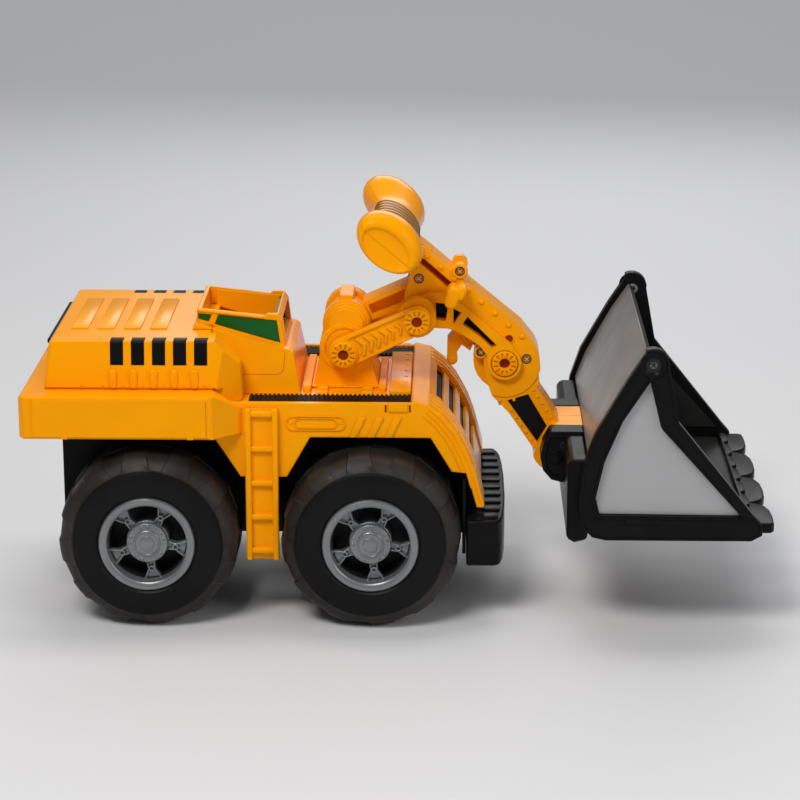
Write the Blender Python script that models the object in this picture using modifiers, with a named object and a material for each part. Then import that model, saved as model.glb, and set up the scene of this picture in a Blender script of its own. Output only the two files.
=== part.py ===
"""Toy front loader: truck, four wheels, lift arms, boom with grip, stick and bucket."""
import bpy
import bmesh
import math
from mathutils import Matrix, Vector

# ---- driving dimensions, millimetres; +X forward, +Z up, ground at z 0 ----
MM = 0.001
GAP = 0.3
SEAM = 0.15

WHEEL_R = 58.0
WHEEL_Z = 58.0
FRONT_AXLE_X = -17.0
REAR_AXLE_X = -160.0
AXLE_R = 3.0

BODY_HALF = 75.0
WALL = 3.0
DECK_Z = 143.5
REAR_HALF = 92.0
REAR_TOP_Z = 154.0
REAR_X0, REAR_X1 = -240.0, -117.0

A1 = (-36.1, 167.7)
B1 = (11.6, 190.0)
A2 = (-34.5, 184.5)
B2 = (13.2, 206.8)
ELBOW = (69.1, 157.2)
HINGE = (103.0, 100.0)
PARTING_R = 24.0
BOOM_HALF = 14.0
SLIDE_DIR = (0.747, -0.664)
STICK_DIR = (0.555, -0.832)
TRIGGER = (36.2, 206.0)
GRIP = (-2.0, 244.5)
GRIP_ANGLE = -40.0

SHELL_Y = 99.7
FRAME_Y0, FRAME_Y1 = 100.0, 107.5
TYRE_STEPS, RIM_STEPS, CAP_STEPS = 32, 20, 16

COLORS = {
    "yellow_plastic": ((1.0, 0.42, 0.01), 0.32),
    "black_plastic": ((0.02, 0.02, 0.022), 0.4),
    "tyre_rubber": ((0.035, 0.034, 0.033), 0.75),
    "grey_plastic": ((0.42, 0.43, 0.44), 0.35),
    "green_glazing": ((0.02, 0.28, 0.06), 0.12),
    "steel": ((0.55, 0.55, 0.56), 0.3),
}

for old in list(bpy.data.objects):
    bpy.data.objects.remove(old, do_unlink=True)


def new_collection(label):
    made = bpy.data.collections.new(label)
    bpy.context.scene.collection.children.link(made)
    return made


PARTS = new_collection("toy_front_loader")
CUTTERS = new_collection("cutters")
CUTTERS.hide_render = True


# ---- outline helpers ----
def arc(centre, radius, start, end, steps):
    """Points on an arc, angles in degrees."""
    out = []
    for i in range(steps + 1):
        a = math.radians(start + (end - start) * i / steps)
        out.append((centre[0] + radius * math.cos(a), centre[1] + radius * math.sin(a)))
    return out


def circle(centre, radius, steps=20):
    return arc(centre, radius, 0.0, 360.0, steps)[:-1]


def capsule(a, b, ra, rb=None, steps=8):
    """Outline round two end circles."""
    rb = ra if rb is None else rb
    lean = math.degrees(math.atan2(b[1] - a[1], b[0] - a[0]))
    reach = math.hypot(b[0] - a[0], b[1] - a[1])
    tilt = math.degrees(math.asin((ra - rb) / reach))
    side = 90.0 - tilt
    return (arc(b, rb, lean - side, lean + side, steps)
            + arc(a, ra, lean + side, lean + 360.0 - side, steps))


def box2(x0, x1, z0, z1):
    return [(x0, z0), (x1, z0), (x1, z1), (x0, z1)]


def offset_path(points, distance):
    """An open path moved to its left by distance, with mitred corners."""
    out = []
    last = len(points) - 1
    for i, p in enumerate(points):
        before = points[max(i - 1, 0)]
        after = points[min(i + 1, last)]
        d0 = Vector((p[0] - before[0], p[1] - before[1]))
        d1 = Vector((after[0] - p[0], after[1] - p[1]))
        d0 = d0.normalized() if i > 0 else d1.normalized()
        d1 = d1.normalized() if i < last else d0
        n0 = Vector((-d0.y, d0.x))
        n1 = Vector((-d1.y, d1.x))
        n = (n0 + n1).normalized()
        reach = distance / max(n.dot(n0), 0.3)
        out.append((p[0] + n.x * reach, p[1] + n.y * reach))
    return out


# ---- solid helpers ----
def link(obj, home=None):
    (home or PARTS).objects.link(obj)
    return obj


def solid_from(name, bm, home=None):
    bmesh.ops.recalc_face_normals(bm, faces=bm.faces)
    data = bpy.data.meshes.new(name)
    bm.to_mesh(data)
    bm.free()
    return link(bpy.data.objects.new(name, data), home)


PLANES = {
    "xz": Matrix(((1, 0, 0, 0), (0, 0, -1, 0), (0, 1, 0, 0), (0, 0, 0, 1))),
    "yz": Matrix(((0, 0, 1, 0), (1, 0, 0, 0), (0, 1, 0, 0), (0, 0, 0, 1))),
    "xy": Matrix.Identity(4),
}
ACROSS = {"xz": Vector((0, 1, 0)), "yz": Vector((1, 0, 0)), "xy": Vector((0, 0, 1))}


def prism(name, plane, outlines, lo, hi, home=None):
    """A 2D outline, with any holes after it, carried from lo to hi across its plane."""
    data = bpy.data.curves.new(name, "CURVE")
    data.dimensions = "2D"
    data.fill_mode = "BOTH"
    data.extrude = (hi - lo) * 0.5 * MM
    for points in outlines:
        spline = data.splines.new("POLY")
        spline.points.add(len(points) - 1)
        for slot, (a, b) in zip(spline.points, points):
            slot.co = (a * MM, b * MM, 0.0, 1.0)
        spline.use_cyclic_u = True
    curve = bpy.data.objects.new(name + "_curve", data)
    bpy.context.scene.collection.objects.link(curve)
    bpy.context.view_layer.update()
    made = bpy.data.meshes.new_from_object(curve.evaluated_get(bpy.context.evaluated_depsgraph_get()))
    bpy.data.objects.remove(curve, do_unlink=True)
    bm = bmesh.new()
    bm.from_mesh(made)
    bpy.data.meshes.remove(made)
    bmesh.ops.remove_doubles(bm, verts=bm.verts, dist=0.00001)
    bmesh.ops.dissolve_limit(bm, angle_limit=0.001, verts=bm.verts, edges=bm.edges)
    bmesh.ops.triangulate(bm, faces=[f for f in bm.faces if len(f.verts) > 4])
    shift = Matrix.Translation(ACROSS[plane] * (lo + hi) * 0.5 * MM)
    bmesh.ops.transform(bm, matrix=shift @ PLANES[plane], verts=bm.verts)
    return solid_from(name, bm, home)


def both_sides(lo, hi, side):
    return (lo, hi) if side > 0 else (-hi, -lo)


def plate(name, outlines, lo, hi, side=0, home=None):
    """An XZ outline; side 0 is centred with half-width hi, else |Y| from lo to hi."""
    if side == 0:
        return prism(name, "xz", outlines, -hi, hi, home)
    a, b = both_sides(lo, hi, side)
    return prism(name, "xz", outlines, a, b, home)


def block(name, x0, x1, y0, y1, z0, z1, home=None):
    return prism(name, "xz", [box2(x0, x1, z0, z1)], y0, y1, home)


def pin_y(name, centre, radius, lo, hi, side=0, steps=16, home=None):
    return plate(name, [circle(centre, radius, steps)], lo, hi, side, home)


def turned(name, profile, steps, centre, side):
    """A (radius, out) profile turned round the Y axis; it closes on itself unless it starts on the axis."""
    data = bpy.data.meshes.new(name)
    verts = [(r * MM, 0.0, y * MM) for r, y in profile]
    count = len(verts)
    last = count if profile[0][0] > 0.0 else count - 1
    edges = [(i, (i + 1) % count) for i in range(last)]
    data.from_pydata(verts, edges, [])
    obj = link(bpy.data.objects.new(name, data))
    screw = obj.modifiers.new("turn", "SCREW")
    screw.axis = "Z"
    screw.steps = steps
    screw.render_steps = steps
    screw.use_merge_vertices = True
    screw.merge_threshold = 0.00001
    screw.use_normal_calculate = profile[0][0] > 0.0
    obj.rotation_euler = (math.radians(-90.0 * side), 0.0, 0.0)
    obj.location = (centre[0] * MM, 0.0, centre[1] * MM)
    return obj


def boolean(target, tool, operation):
    """A live exact cut or join; the tool moves to the cutters."""
    mod = target.modifiers.new(operation.lower() + "_" + tool.name, "BOOLEAN")
    mod.operation = operation
    mod.solver = "EXACT"
    mod.object = tool
    for home in list(tool.users_collection):
        home.objects.unlink(tool)
    CUTTERS.objects.link(tool)
    tool.hide_render = True
    tool.display_type = "WIRE"
    return target


def cut(target, *tools):
    for tool in tools:
        boolean(target, tool, "DIFFERENCE")
    return target


def join(target, *tools):
    for tool in tools:
        boolean(target, tool, "UNION")
    return target


def bevel(obj, width, segments=2, angle=40.0):
    mod = obj.modifiers.new("soft edge", "BEVEL")
    mod.width = width * MM
    mod.segments = segments
    mod.limit_method = "ANGLE"
    mod.angle_limit = math.radians(angle)
    return obj


def lean_in(obj, z0, z1, y0, y1):
    """Draft the sides: half-width y0 at height z0 becomes y1 at z1."""
    for v in obj.data.vertices:
        t = (v.co.z / MM - z0) / (z1 - z0)
        if t > 0.0:
            v.co.y *= 1.0 + t * (y1 / y0 - 1.0)
    return obj


MATERIALS = {}


def finish(obj, material):
    """Own material, smooth shading with sharp edges kept."""
    color, roughness = COLORS[material]
    mat = bpy.data.materials.new(material + "_" + obj.name)
    mat.use_nodes = True
    shader = mat.node_tree.nodes["Principled BSDF"]
    shader.inputs["Base Color"].default_value = (*color, 1.0)
    shader.inputs["Roughness"].default_value = roughness
    obj.data.materials.clear()
    obj.data.materials.append(mat)
    obj.data.shade_smooth()
    obj.data.set_sharp_from_angle(angle=math.radians(35.0))
    return obj


def empty_at(name, x, y, z, parent=None):
    obj = link(bpy.data.objects.new(name, None))
    obj.empty_display_size = 0.01
    obj.location = (x * MM, y * MM, z * MM)
    if parent:
        hold(parent, obj)
    return obj


def hold(parent, *children):
    """Parent children to an empty and leave them where they are."""
    bpy.context.view_layer.update()
    for child in children:
        child.parent = parent
        child.matrix_parent_inverse = parent.matrix_world.inverted()


SIDES = (("right", -1), ("left", 1))

# ---- truck: chassis, bumper, axles ----
truck = empty_at("truck_origin", 0, 0, 0)


def build_chassis():
    top = DECK_Z - WALL - 0.5
    side = [(-222, 44), (44, 44), (44, 96), (33, 114), (18, 128), (10, top), (-222, top)]
    frame = plate("chassis", [side], 0, 29)
    wings = block("chassis_wings", -226, 30, -71.5, 71.5, 124, 127)
    nose = block("chassis_nose", 41.8, 44, -71, 71, 44, 95)
    join(frame, wings, nose)
    inside = [(-219, 47), (41, 47), (41, 95), (31, 112), (17, 126), (8, 150), (-219, 150)]
    hollow = plate("chassis_hollow", [inside], 0, 26)
    bores = [pin_y("bore_front", (FRONT_AXLE_X, WHEEL_Z), AXLE_R + GAP, 0, 40),
             pin_y("bore_rear", (REAR_AXLE_X, WHEEL_Z), AXLE_R + GAP, 0, 40)]
    cut(frame, hollow, *bores)
    return finish(frame, "black_plastic")


def build_bumper():
    right = [(44.3, -80), (63, -80), (67, -76), (69, -60), (70, -25)]
    outline = right + [(x, -y) for x, y in reversed(right)]
    bumper = bevel(prism("front_bumper", "xy", [outline], 38.5, 70.0), 2.0, 1)
    cut(bumper, block("bumper_hollow", 47.5, 64, -74, 74, 30, 66.5))
    return finish(bumper, "black_plastic")


def build_axles():
    made = []
    for name, x in (("axle_front", FRONT_AXLE_X), ("axle_rear", REAR_AXLE_X)):
        made.append(finish(pin_y(name, (x, WHEEL_Z), AXLE_R, 0, 90.5), "steel"))
    return made


hold(truck, build_chassis(), build_bumper(), *build_axles())

# ---- truck: yellow body shell ----
NOSE = [(9, 147.5), (20, 145), (29, 138), (37.5, 127.3), (44.4, 114.5), (49.8, 101), (53.7, 87), (55.9, 78),
        (55.2, 76.5)]


def build_body():
    under = [(51.0, 76.5), (44.3, 99.5), (34.6, 100.5), (21, 123), (-56, 123),
             (-71, 96.5), (-101, 96.5), (-117, 121.5), (-121, 126.6), (-200, 126.6)]
    body = plate("body_shell", [[(-200, 146), (8.4, 146)] + NOSE + under], 0, BODY_HALF)
    bevel(body, 2.2, 2, 80.0)
    plan = [(REAR_X0, -89), (REAR_X0, 89), (REAR_X0 + 3, REAR_HALF), (REAR_X1, REAR_HALF),
            (REAR_X1, -REAR_HALF), (REAR_X0 + 3, -REAR_HALF)]
    rear = prism("rear_box", "xy", [plan], 126, REAR_TOP_Z)
    join(body, bevel(rear, 1.2, 1, 60.0))
    for label, s in SIDES:
        fin = [(REAR_X1 - 2, 74.9 * s), (REAR_X1 - 2, 91.8 * s), (REAR_X1, 91.8 * s), (-99, 74.9 * s)]
        wedge = prism("wedge_" + label, "xy", [fin], 126.2, REAR_TOP_Z - 0.2)
        above = [(REAR_X1, 154.2), (-98, 141.6), (-90, 160), (REAR_X1, 160)]
        slope = plate("slope_" + label, [above], 0, 100)
        join(body, cut(wedge, slope))
    inner = offset_path([(-114, 146)] + [(8.4, 146)] + NOSE[1:], -WALL - 0.5)
    cavity = [(-232.5, DECK_Z - WALL), (inner[1][0] - 2, DECK_Z - WALL)] + inner[2:]
    cavity += [(inner[-1][0], 60), (inner[-1][0] - 4, 40), (-232.5, 40)]
    cut(body, plate("body_cavity", [cavity], 0, BODY_HALF - WALL))
    cut(body, block("rear_cavity", REAR_X0 + WALL, REAR_X1 - WALL, -REAR_HALF + WALL, REAR_HALF - WALL, 40,
                    REAR_TOP_Z - WALL))
    cut(body, block("deck_channel", REAR_X1 + 0.3, 8.4, -71, 71, DECK_Z, 175))
    skin = offset_path(NOSE, -1.2)
    recess = [(20.5, 160)] + [p for p in skin if p[0] > 20] + [(62, 70), (75, 70), (75, 160)]
    cut(body, plate("hood_recess", [recess], 0, 42.0))
    slots = [(24.5, 30.3), (33.6, 38.2), (41.2, 45.2), (47.4, 50.4)]
    for i, (x0, x1) in enumerate(slots):
        a, b = on_nose(x0), on_nose(x1)
        n = Vector((b[1] - a[1], -(b[0] - a[0]))).normalized() * -1.0
        quad = [(a[0] + n.x * 5, a[1] + n.y * 5), (b[0] + n.x * 5, b[1] + n.y * 5),
                (b[0] - n.x * 7, b[1] - n.y * 7), (a[0] - n.x * 7, a[1] - n.y * 7)]
        cut(body, plate("slot_%d" % (i + 1), [quad], 0, 38.5))
    return finish(body, "yellow_plastic")


def on_nose(x):
    """Point of the nose profile at x."""
    for a, b in zip(NOSE, NOSE[1:]):
        if a[0] <= x <= b[0]:
            t = (x - a[0]) / (b[0] - a[0])
            return (x, a[1] + (b[1] - a[1]) * t)
    return NOSE[-1]


def build_grille():
    path = [(21, 144.4)] + NOSE[2:7]
    outer = offset_path(path, -WALL - 0.5 - GAP)
    inner = offset_path(path, -WALL - 0.5 - GAP - 2.0)
    return finish(plate("hood_grille", [outer + inner[::-1]], 0, 43.0), "black_plastic")


def build_deck_parts():
    made = []
    for label, s in SIDES:
        y0, y1 = both_sides(51, 70, s)
        strip = block("tread_strip_" + label, -96, 8.0, y0, y1, DECK_Z + GAP, 145.4)
        made.append(finish(strip, "black_plastic"))
        rail = plate("ladder_" + label, [box2(-97.5, -76.3, 41.5, 143)], 75.3, 80.5, s)
        bevel(rail, 0.6, 1)
        rungs = (139.5, 116.4, 93.3, 70.6, 47.8)
        for i, (hi, lo) in enumerate(zip(rungs, rungs[1:])):
            pocket = box2(-93.7, -80.1, lo + 1.9, hi - 1.9)
            cut(rail, plate("ladder_pocket_%s_%d" % (label, i), [pocket], 76.7, 90, s))
        made.append(finish(rail, "yellow_plastic"))
    return made


hold(truck, build_body(), build_grille(), *build_deck_parts())


# ---- truck: engine cover and cab ----
def build_cover():
    side = [(-226, REAR_TOP_Z + GAP), (-116.6, REAR_TOP_Z + GAP), (-116.4, 147), (-116.4, DECK_Z + GAP),
            (-100, DECK_Z + GAP), (-101.5, 168), (-117, 185), (-222, 185)]
    cover = lean_in(plate("engine_cover", [side], 0, 74.3), REAR_TOP_Z, 185, 74.3, 70.0)
    bevel(cover, 1.2, 1, 50.0)
    for label, s in SIDES:
        corner = [(-117, 76 * s), (-95, 55.5 * s), (-95, 90 * s), (-117, 90 * s)]
        cut(cover, prism("cover_corner_" + label, "xy", [corner], 130, 200))
        y0, y1 = both_sides(70.4, 90, s)
        cut(cover, block("cover_foot_" + label, -117.6, -90, y0, y1, 130, REAR_TOP_Z + 0.5))
    cavity = lean_in(block("cover_cavity", -220, -121.3, -73.1, 73.1, 140, 182), 140, 182, 73.1, 67.3)
    cut(cover, cavity, block("cover_notch", -121.0, -90, -47, 47, 130, 200))
    for label, s in SIDES:
        for i in range(5):
            x0 = -143.0 - 13.4 * (i - 1)
            y0, y1 = both_sides(60, 90, s)
            cut(cover, block("vent_%s_%d" % (label, i), x0, x0 + 8.4, y0, y1, 169.5, 195))
    return finish(cover, "yellow_plastic")


def build_liner():
    liner = block("engine_liner", -219.6, -121.7, -70.6, 70.6, REAR_TOP_Z + GAP, 181.6)
    lean_in(liner, REAR_TOP_Z, 181.6, 70.6, 66.8)
    cavity = block("liner_cavity", -217.5, -124, -70.2, 70.2, 140, 179.5)
    cut(liner, lean_in(cavity, 140, 179.5, 70.2, 64.8))
    return finish(liner, "black_plastic")


def build_cab():
    lower = [(-116.6, DECK_Z + GAP), (-63.5, DECK_Z + GAP), (-68.4, 170.3), (-71, 171.8), (-131.6, 188.3),
             (-133.5, 185.3), (-120.6, 185.3), (-120.6, REAR_TOP_Z + 0.4), (-116.6, REAR_TOP_Z + 0.4)]
    cab = plate("cab_shell", [lower], 0, 45.5)
    for v in cab.data.vertices:
        t = (v.co.z / MM - 145.0) / 27.0
        v.co.y *= 1.0 - (5.5 / 45.5) * max(0.0, min(1.0, t))
    bevel(cab, 1.2, 1, 45.0)
    upper = [(-131, 186), (-120.6, 185.7), (-120.6, 177), (-73.2, 165), (-73.5, 173), (-75.5, 189.8),
             (-78.5, 194), (-85.5, 194), (-87.5, 192.4), (-124, 196.6), (-131, 197.2)]
    join(cab, bevel(plate("cab_upper", [upper], 0, 33), 0.8, 1, 50.0))
    room = [(-128, 187), (-118, 162), (-79.6, 162), (-79.0, 210), (-128, 210)]
    cut(cab, plate("cab_room", [room], 0, 30))
    window = [(-119.6, 186.9), (-77.0, 174.4), (-79.2, 189.6), (-117.2, 193.4)]
    cut(cab, plate("cab_window", [window], 0, 60))
    cut(cab, block("cab_windshield", -90, -60, -27, 27, 175.5, 190.0))
    cut(cab, block("cab_tub_under", -113, -72, -38, 38, 130, 158.5))
    return finish(cab, "yellow_plastic")


def build_glazing():
    outer = [(-122, -29.7), (-79.9, -29.7), (-79.9, 29.7), (-122, 29.7), (-122, 28.3), (-81.3, 28.3),
             (-81.3, -28.3), (-122, -28.3)]
    glazing = prism("cab_glazing", "xy", [outer], 173.5, 196)
    trim = [(-130, 193.9), (-86, 190.4), (-79, 191.2), (-70, 191.2), (-70, 205), (-130, 205)]
    low = [(-130, 165), (-70, 165), (-70, 173.6), (-79.9, 173.6), (-122, 186.5), (-130, 188)]
    cut(glazing, plate("glazing_top", [trim], 0, 50), plate("glazing_low", [low], 0, 50))
    return finish(glazing, "green_glazing")


def build_pedestal():
    base = DECK_Z + GAP
    ear = [(-56, base), (-13, base)] + arc((-35.6, 170.3), 16.4, -20, 195, 15)
    drum = [(-55, base), (-14, base), (-19.2, 180)] + arc(A2, 15.65, -12, 192, 16) + [(-50.3, 180)]
    pedestal = plate("pedestal", [ear], 0, 27)
    join(pedestal, plate("pedestal_drum", [drum], 0, 21))
    join(pedestal, block("pedestal_lip", -61, -9, -30, 30, base, base + 1.2))
    bridge = [(-40, 196), (-29.6, 196), (-30.4, 202.2), (-39.2, 202.2)]
    join(pedestal, plate("pedestal_bridge", [bridge], 0, 15))
    slot = [(-70, 158), (0, 158), (0, 215), (-29.6, 215), (-29.6, 198.2), (-40, 198.2), (-40, 215),
            (-70, 215)]
    cut(pedestal, plate("pedestal_slot", [slot], 0, 11))
    cut(pedestal, pin_y("arm_pin_bore", A2, 4.3, 0, 18.4))
    for label, s in SIDES:
        cut(pedestal, pin_y("lift_pin_bore_" + label, A1, 3.8, 15.5, 30, s))
    cut(pedestal, block("pedestal_under", -50, -19, -22, 22, 130, 152))
    return finish(pedestal, "yellow_plastic")


hold(truck, build_cover(), build_liner(), build_cab(), build_glazing(), build_pedestal())


# ---- wheels ----
def build_wheel(label, x, side):
    name = label
    centre = (x, WHEEL_Z)
    hub = empty_at("wheel_%s_axis" % name, x, 0, WHEEL_Z, truck)
    tread = [(WHEEL_R, 88.5), (WHEEL_R, 43.5), (47, 33), (31.3, 33.6), (31.3, 96.5), (47, 99), (50.5, 97.2),
             (56.2, 91)]
    tyre = turned("tyre_" + name, tread, TYRE_STEPS, centre, side)
    barrel = [(31, 98.2), (31, 33.8), (27.5, 33.8), (25.7, 82), (14.5, 82), (14.5, 36), (AXLE_R + GAP, 36),
              (AXLE_R + GAP, 91.2), (14.2, 91.2), (17.5, 88.5), (25.2, 92.5), (27, 98.2)]
    rim = turned("rim_" + name, barrel, RIM_STEPS, centre, side)
    for i in range(5):
        mid = 90.0 + 72.0 * i + 36.0
        window = arc(centre, 24.7, mid - 24.5, mid + 24.5, 4) + arc(centre, 18.3, mid + 19, mid - 19, 2)
        cut(rim, plate("rim_window_%s_%d" % (name, i), [window], 60, 110, side))
    cap = [(0.0, 96.6), (5.0, 96.4), (8.6, 95.2), (9.2, 93.9), (13.2, 93.4), (13.6, 91.5), (0.0, 91.5)]
    cover = turned("hub_cap_" + name, cap, CAP_STEPS, centre, side)
    for obj, material in ((tyre, "tyre_rubber"), (rim, "grey_plastic"), (cover, "grey_plastic")):
        finish(obj, material)
    hold(hub, tyre, rim, cover)


for end, axle_x in (("front", FRONT_AXLE_X), ("rear", REAR_AXLE_X)):
    for label, s in SIDES:
        build_wheel(end + "_" + label, axle_x, s)


# ---- lift arms ----
def build_centre_arm():
    root = empty_at("arm_lift_axis", A2[0], 0, A2[1], truck)
    beam = [(-24, 196.6), (4.7, 209.4), (10, 213.2), (13.2, 214.2), (17, 213.2), (20, 209.8), (20.6, 206),
            (19, 202), (15.5, 199.7), (10, 199.3), (2.9, 192.6), (-17.7, 184.6), (-30, 178)]
    arm = plate("centre_arm", [beam], 0, 10.5)
    join(arm, pin_y("arm_hub", A2, 13.0, 0, 10.5, 0, 24))
    pocket = [(-20.6, 194.6), (3.6, 205.3), (2.2, 196.0), (-17.8, 188.2)]
    for label, s in SIDES:
        cut(arm, plate("arm_pocket_" + label, [pocket], 3, 20, s))
    cut(arm, pin_y("arm_bore", A2, 4.3, 0, 20), pin_y("level_bore", B2, 3.3, 0, 20))
    pin = pin_y("arm_pin", A2, 4.0, 0, 18.0)
    hold(root, finish(arm, "yellow_plastic"), finish(pin, "steel"))


def build_side_link(label, s):
    root = empty_at("side_link_%s_axis" % label, A1[0], 0, A1[1], truck)
    bar = plate("side_link_" + label, [capsule(A1, B1, 10, 9)], 28, 36, s)
    bevel(bar, 0.7, 1)
    cut(bar, pin_y("link_bore_a_" + label, A1, 3.8, 20, 50, s))
    cut(bar, pin_y("link_bore_b_" + label, B1, 3.6, 20, 50, s))
    pins = []
    for name, centre, radius, inner in (("lift_pin_", A1, 3.5, 16.0), ("link_pin_", B1, 3.3, 17.5)):
        pin = pin_y(name + label, centre, 8.6, 36.3, 38.8, s, 16)
        join(pin, pin_y(name + "shaft_" + label, centre, radius, inner, 37, s, 12))
        cut(pin, pin_y(name + "hole_" + label, centre, 2.4, 37.2, 45, s, 10))
        pins.append(finish(pin, "yellow_plastic"))
    hold(root, finish(bar, "yellow_plastic"), *pins)


build_centre_arm()
for label, s in SIDES:
    build_side_link(label, s)

# ---- boom ----
boom_axis = empty_at("boom_level_axis", B2[0], 0, B2[1], bpy.data.objects["arm_lift_axis"])
BOOM = ([(15.5, 234.7), (46, 208.6), (80, 180.6)] + arc(ELBOW, 23.2, 33, 3, 4)
        + arc(ELBOW, PARTING_R, -10, -110, 9)
        + [(57, 146), (55.5, 150), (55.4, 159.3), (60, 166), (45, 181), (32, 196), (20, 199), (12, 201),
           (2.6, 196.5), (3.4, 204), (7.5, 218), (11.5, 220.5), (13.5, 235.2)])
TRUSS = ([(13, 202.6), (18.6, 205), (26.4, 205.2), (33.5, 203), (47.4, 191.6), (72.6, 171.2)]
         + arc(ELBOW, 11.2, 48, -178, 12)
         + [(57.6, 162.4), (52.8, 169.0), (43.6, 175.2), (37, 178.9), (31.8, 180.8), (20, 181.4), (6, 179)])
OPENINGS = (
    [(23.6, 198.3), (31.9, 197.4), (30.4, 186.0), (24.1, 186.8)],
    [(35.3, 194.3), (40.4, 191.6), (35.4, 184.2)],
    [(44.5, 188.8), (63.8, 169.6), (60.8, 167.6), (52.8, 175.3), (41.2, 183.7)],
)


def grip_point(along, up):
    """A point in the grip's own axes, along its long axis and up from it."""
    a = math.radians(GRIP_ANGLE)
    x = GRIP[0] + along * math.cos(a) - up * math.sin(a)
    return (x, GRIP[1] + along * math.sin(a) + up * math.cos(a))


def other_half(name, s):
    """A cutter for everything past the middle seam."""
    y0, y1 = both_sides(-60, SEAM, s)
    return block("%s_seam_%s" % (name, "left" if s > 0 else "right"), -60, 140, y0, y1, 60, 280)


def build_boom_half(label, s):
    half = plate("boom_" + label, [BOOM], -3, BOOM_HALF, s)
    truss = plate("truss_" + label, [TRUSS], 7.1, 17.8, s)
    hub = pin_y("boom_hub_" + label, B1, 13.0, 7.7, 27, s, 20)
    tongue = [grip_point(4, -4.4), grip_point(24, -4.4), grip_point(26, 4.4), grip_point(4, 4.4)]
    join(half, truss, hub, plate("tongue_" + label, [tongue], -4, 9.0, s))
    for i, outline in enumerate(OPENINGS):
        cut(half, plate("truss_opening_%s_%d" % (label, i), [outline], 6.0, 40, s))
    core = [(20.5, 199.5), (33.5, 199.5), (68, 170), (60, 163.5), (50, 172.5), (34, 182.2), (20.5, 184)]
    cut(half, plate("core_pocket_" + label, [core], -5, 8.3, s))
    arm_room = arc(B2, 9.2, 60, -50, 8) + [(12, 190), (-15, 171.5), (-15, 206), (4, 214.5), (8.6, 216.0)]
    cut(half, plate("arm_room_" + label, [arm_room], -5, 10.9, s))
    elbow_room = arc(ELBOW, 22.4, -18, 215, 15) + [(48, 130), (70, 118), (100, 128), (100, 145)]
    cut(half, plate("elbow_room_" + label, [elbow_room], -5, 8.5, s))
    end = (TRIGGER[0] + 2.2 * SLIDE_DIR[0], TRIGGER[1] + 2.2 * SLIDE_DIR[1])
    start = (TRIGGER[0] - 28.5 * SLIDE_DIR[0], TRIGGER[1] - 28.5 * SLIDE_DIR[1])
    cut(half, plate("trigger_slot_" + label, [capsule(start, end, 2.1, None, 4)], -5, 40, s))
    cut(half, pin_y("level_pin_bore_" + label, B2, 3.3, -5, 13.0, s))
    cut(half, pin_y("open_pivot_bore_" + label, B1, 4.1, 16.8, 40, s))
    cut(half, pin_y("elbow_head_room_" + label, ELBOW, 9.1, 13.8, 40, s, 22))
    cut(half, pin_y("elbow_bore_" + label, ELBOW, 4.3, 5, 20, s))
    cut(half, other_half("boom", s))
    return finish(half, "yellow_plastic")


def build_boom_parts():
    core = [(20.9, 199.1), (33.35, 199.1), (45.6, 188.7), (50.2, 172.9), (33.8, 182.6), (20.9, 184.4)]
    core = plate("boom_core", [core], 0, 8.0)
    pin = pin_y("level_pin", B2, 3.0, 0, 12.7)
    elbow = [(37.6, 178.0), (31.4, 170.5), (31.2, 157), (34.9, 153.4), (38.2, 156.6), (37.4, 161.5),
             (41, 166.8), (46.4, 162.6), (49.6, 170.0)]
    fitting = plate("hose_fitting", [elbow], 0, 5.5)
    return [finish(core, "black_plastic"), finish(pin, "steel"), fitting]


def knob_shift(y):
    """The knobs sit a little up the long axis from the bar."""
    return -4.6 * max(0.0, min(1.0, (abs(y) - 30.0) / 20.0))


def ring(bm, y, half_long, half_short, steps, arc_from):
    """A row of vertices on half an ellipse in the grip's axes."""
    seam = SEAM if arc_from == 0 else -SEAM
    row = []
    for i in range(steps + 1):
        a = math.radians(arc_from + 180.0 * i / steps)
        x, z = grip_point(half_long * math.cos(a) + knob_shift(y), half_short * math.sin(a) + seam)
        row.append(bm.verts.new((x * MM, y * MM, z * MM)))
    return row


def build_grip_half(name, arc_from):
    sections = [(0.0, 17.5, 10.0), (24, 17.5, 10.0), (34, 18.0, 10.6), (42, 20.2, 12.8), (50, 22.6, 15.6),
                (57, 23.5, 16.5), (64, 23.2, 16.2), (68, 21.6, 14.6), (69.2, 19.4, 12.4), (67.6, 17.0, 10.2)]
    rows = [(-y, a, b) for y, a, b in reversed(sections)] + sections[1:]
    bm = bmesh.new()
    made = [ring(bm, y, a, b, 10, arc_from) for y, a, b in rows]
    for r0, r1 in zip(made, made[1:]):
        for i in range(10):
            bm.faces.new((r0[i], r0[i + 1], r1[i + 1], r1[i]))
        bm.faces.new((r0[10], r0[0], r1[0], r1[10]))
    bm.faces.new(made[0])
    bm.faces.new(made[-1])
    bmesh.ops.triangulate(bm, faces=[f for f in bm.faces if len(f.verts) > 4])
    half = solid_from(name, bm)
    tongue = [grip_point(3.6, -4.8), grip_point(40, -4.8), grip_point(40, 4.8), grip_point(3.6, 4.8)]
    cut(half, plate(name + "_socket", [tongue], 0, 9.4))
    return finish(half, "yellow_plastic")


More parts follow.
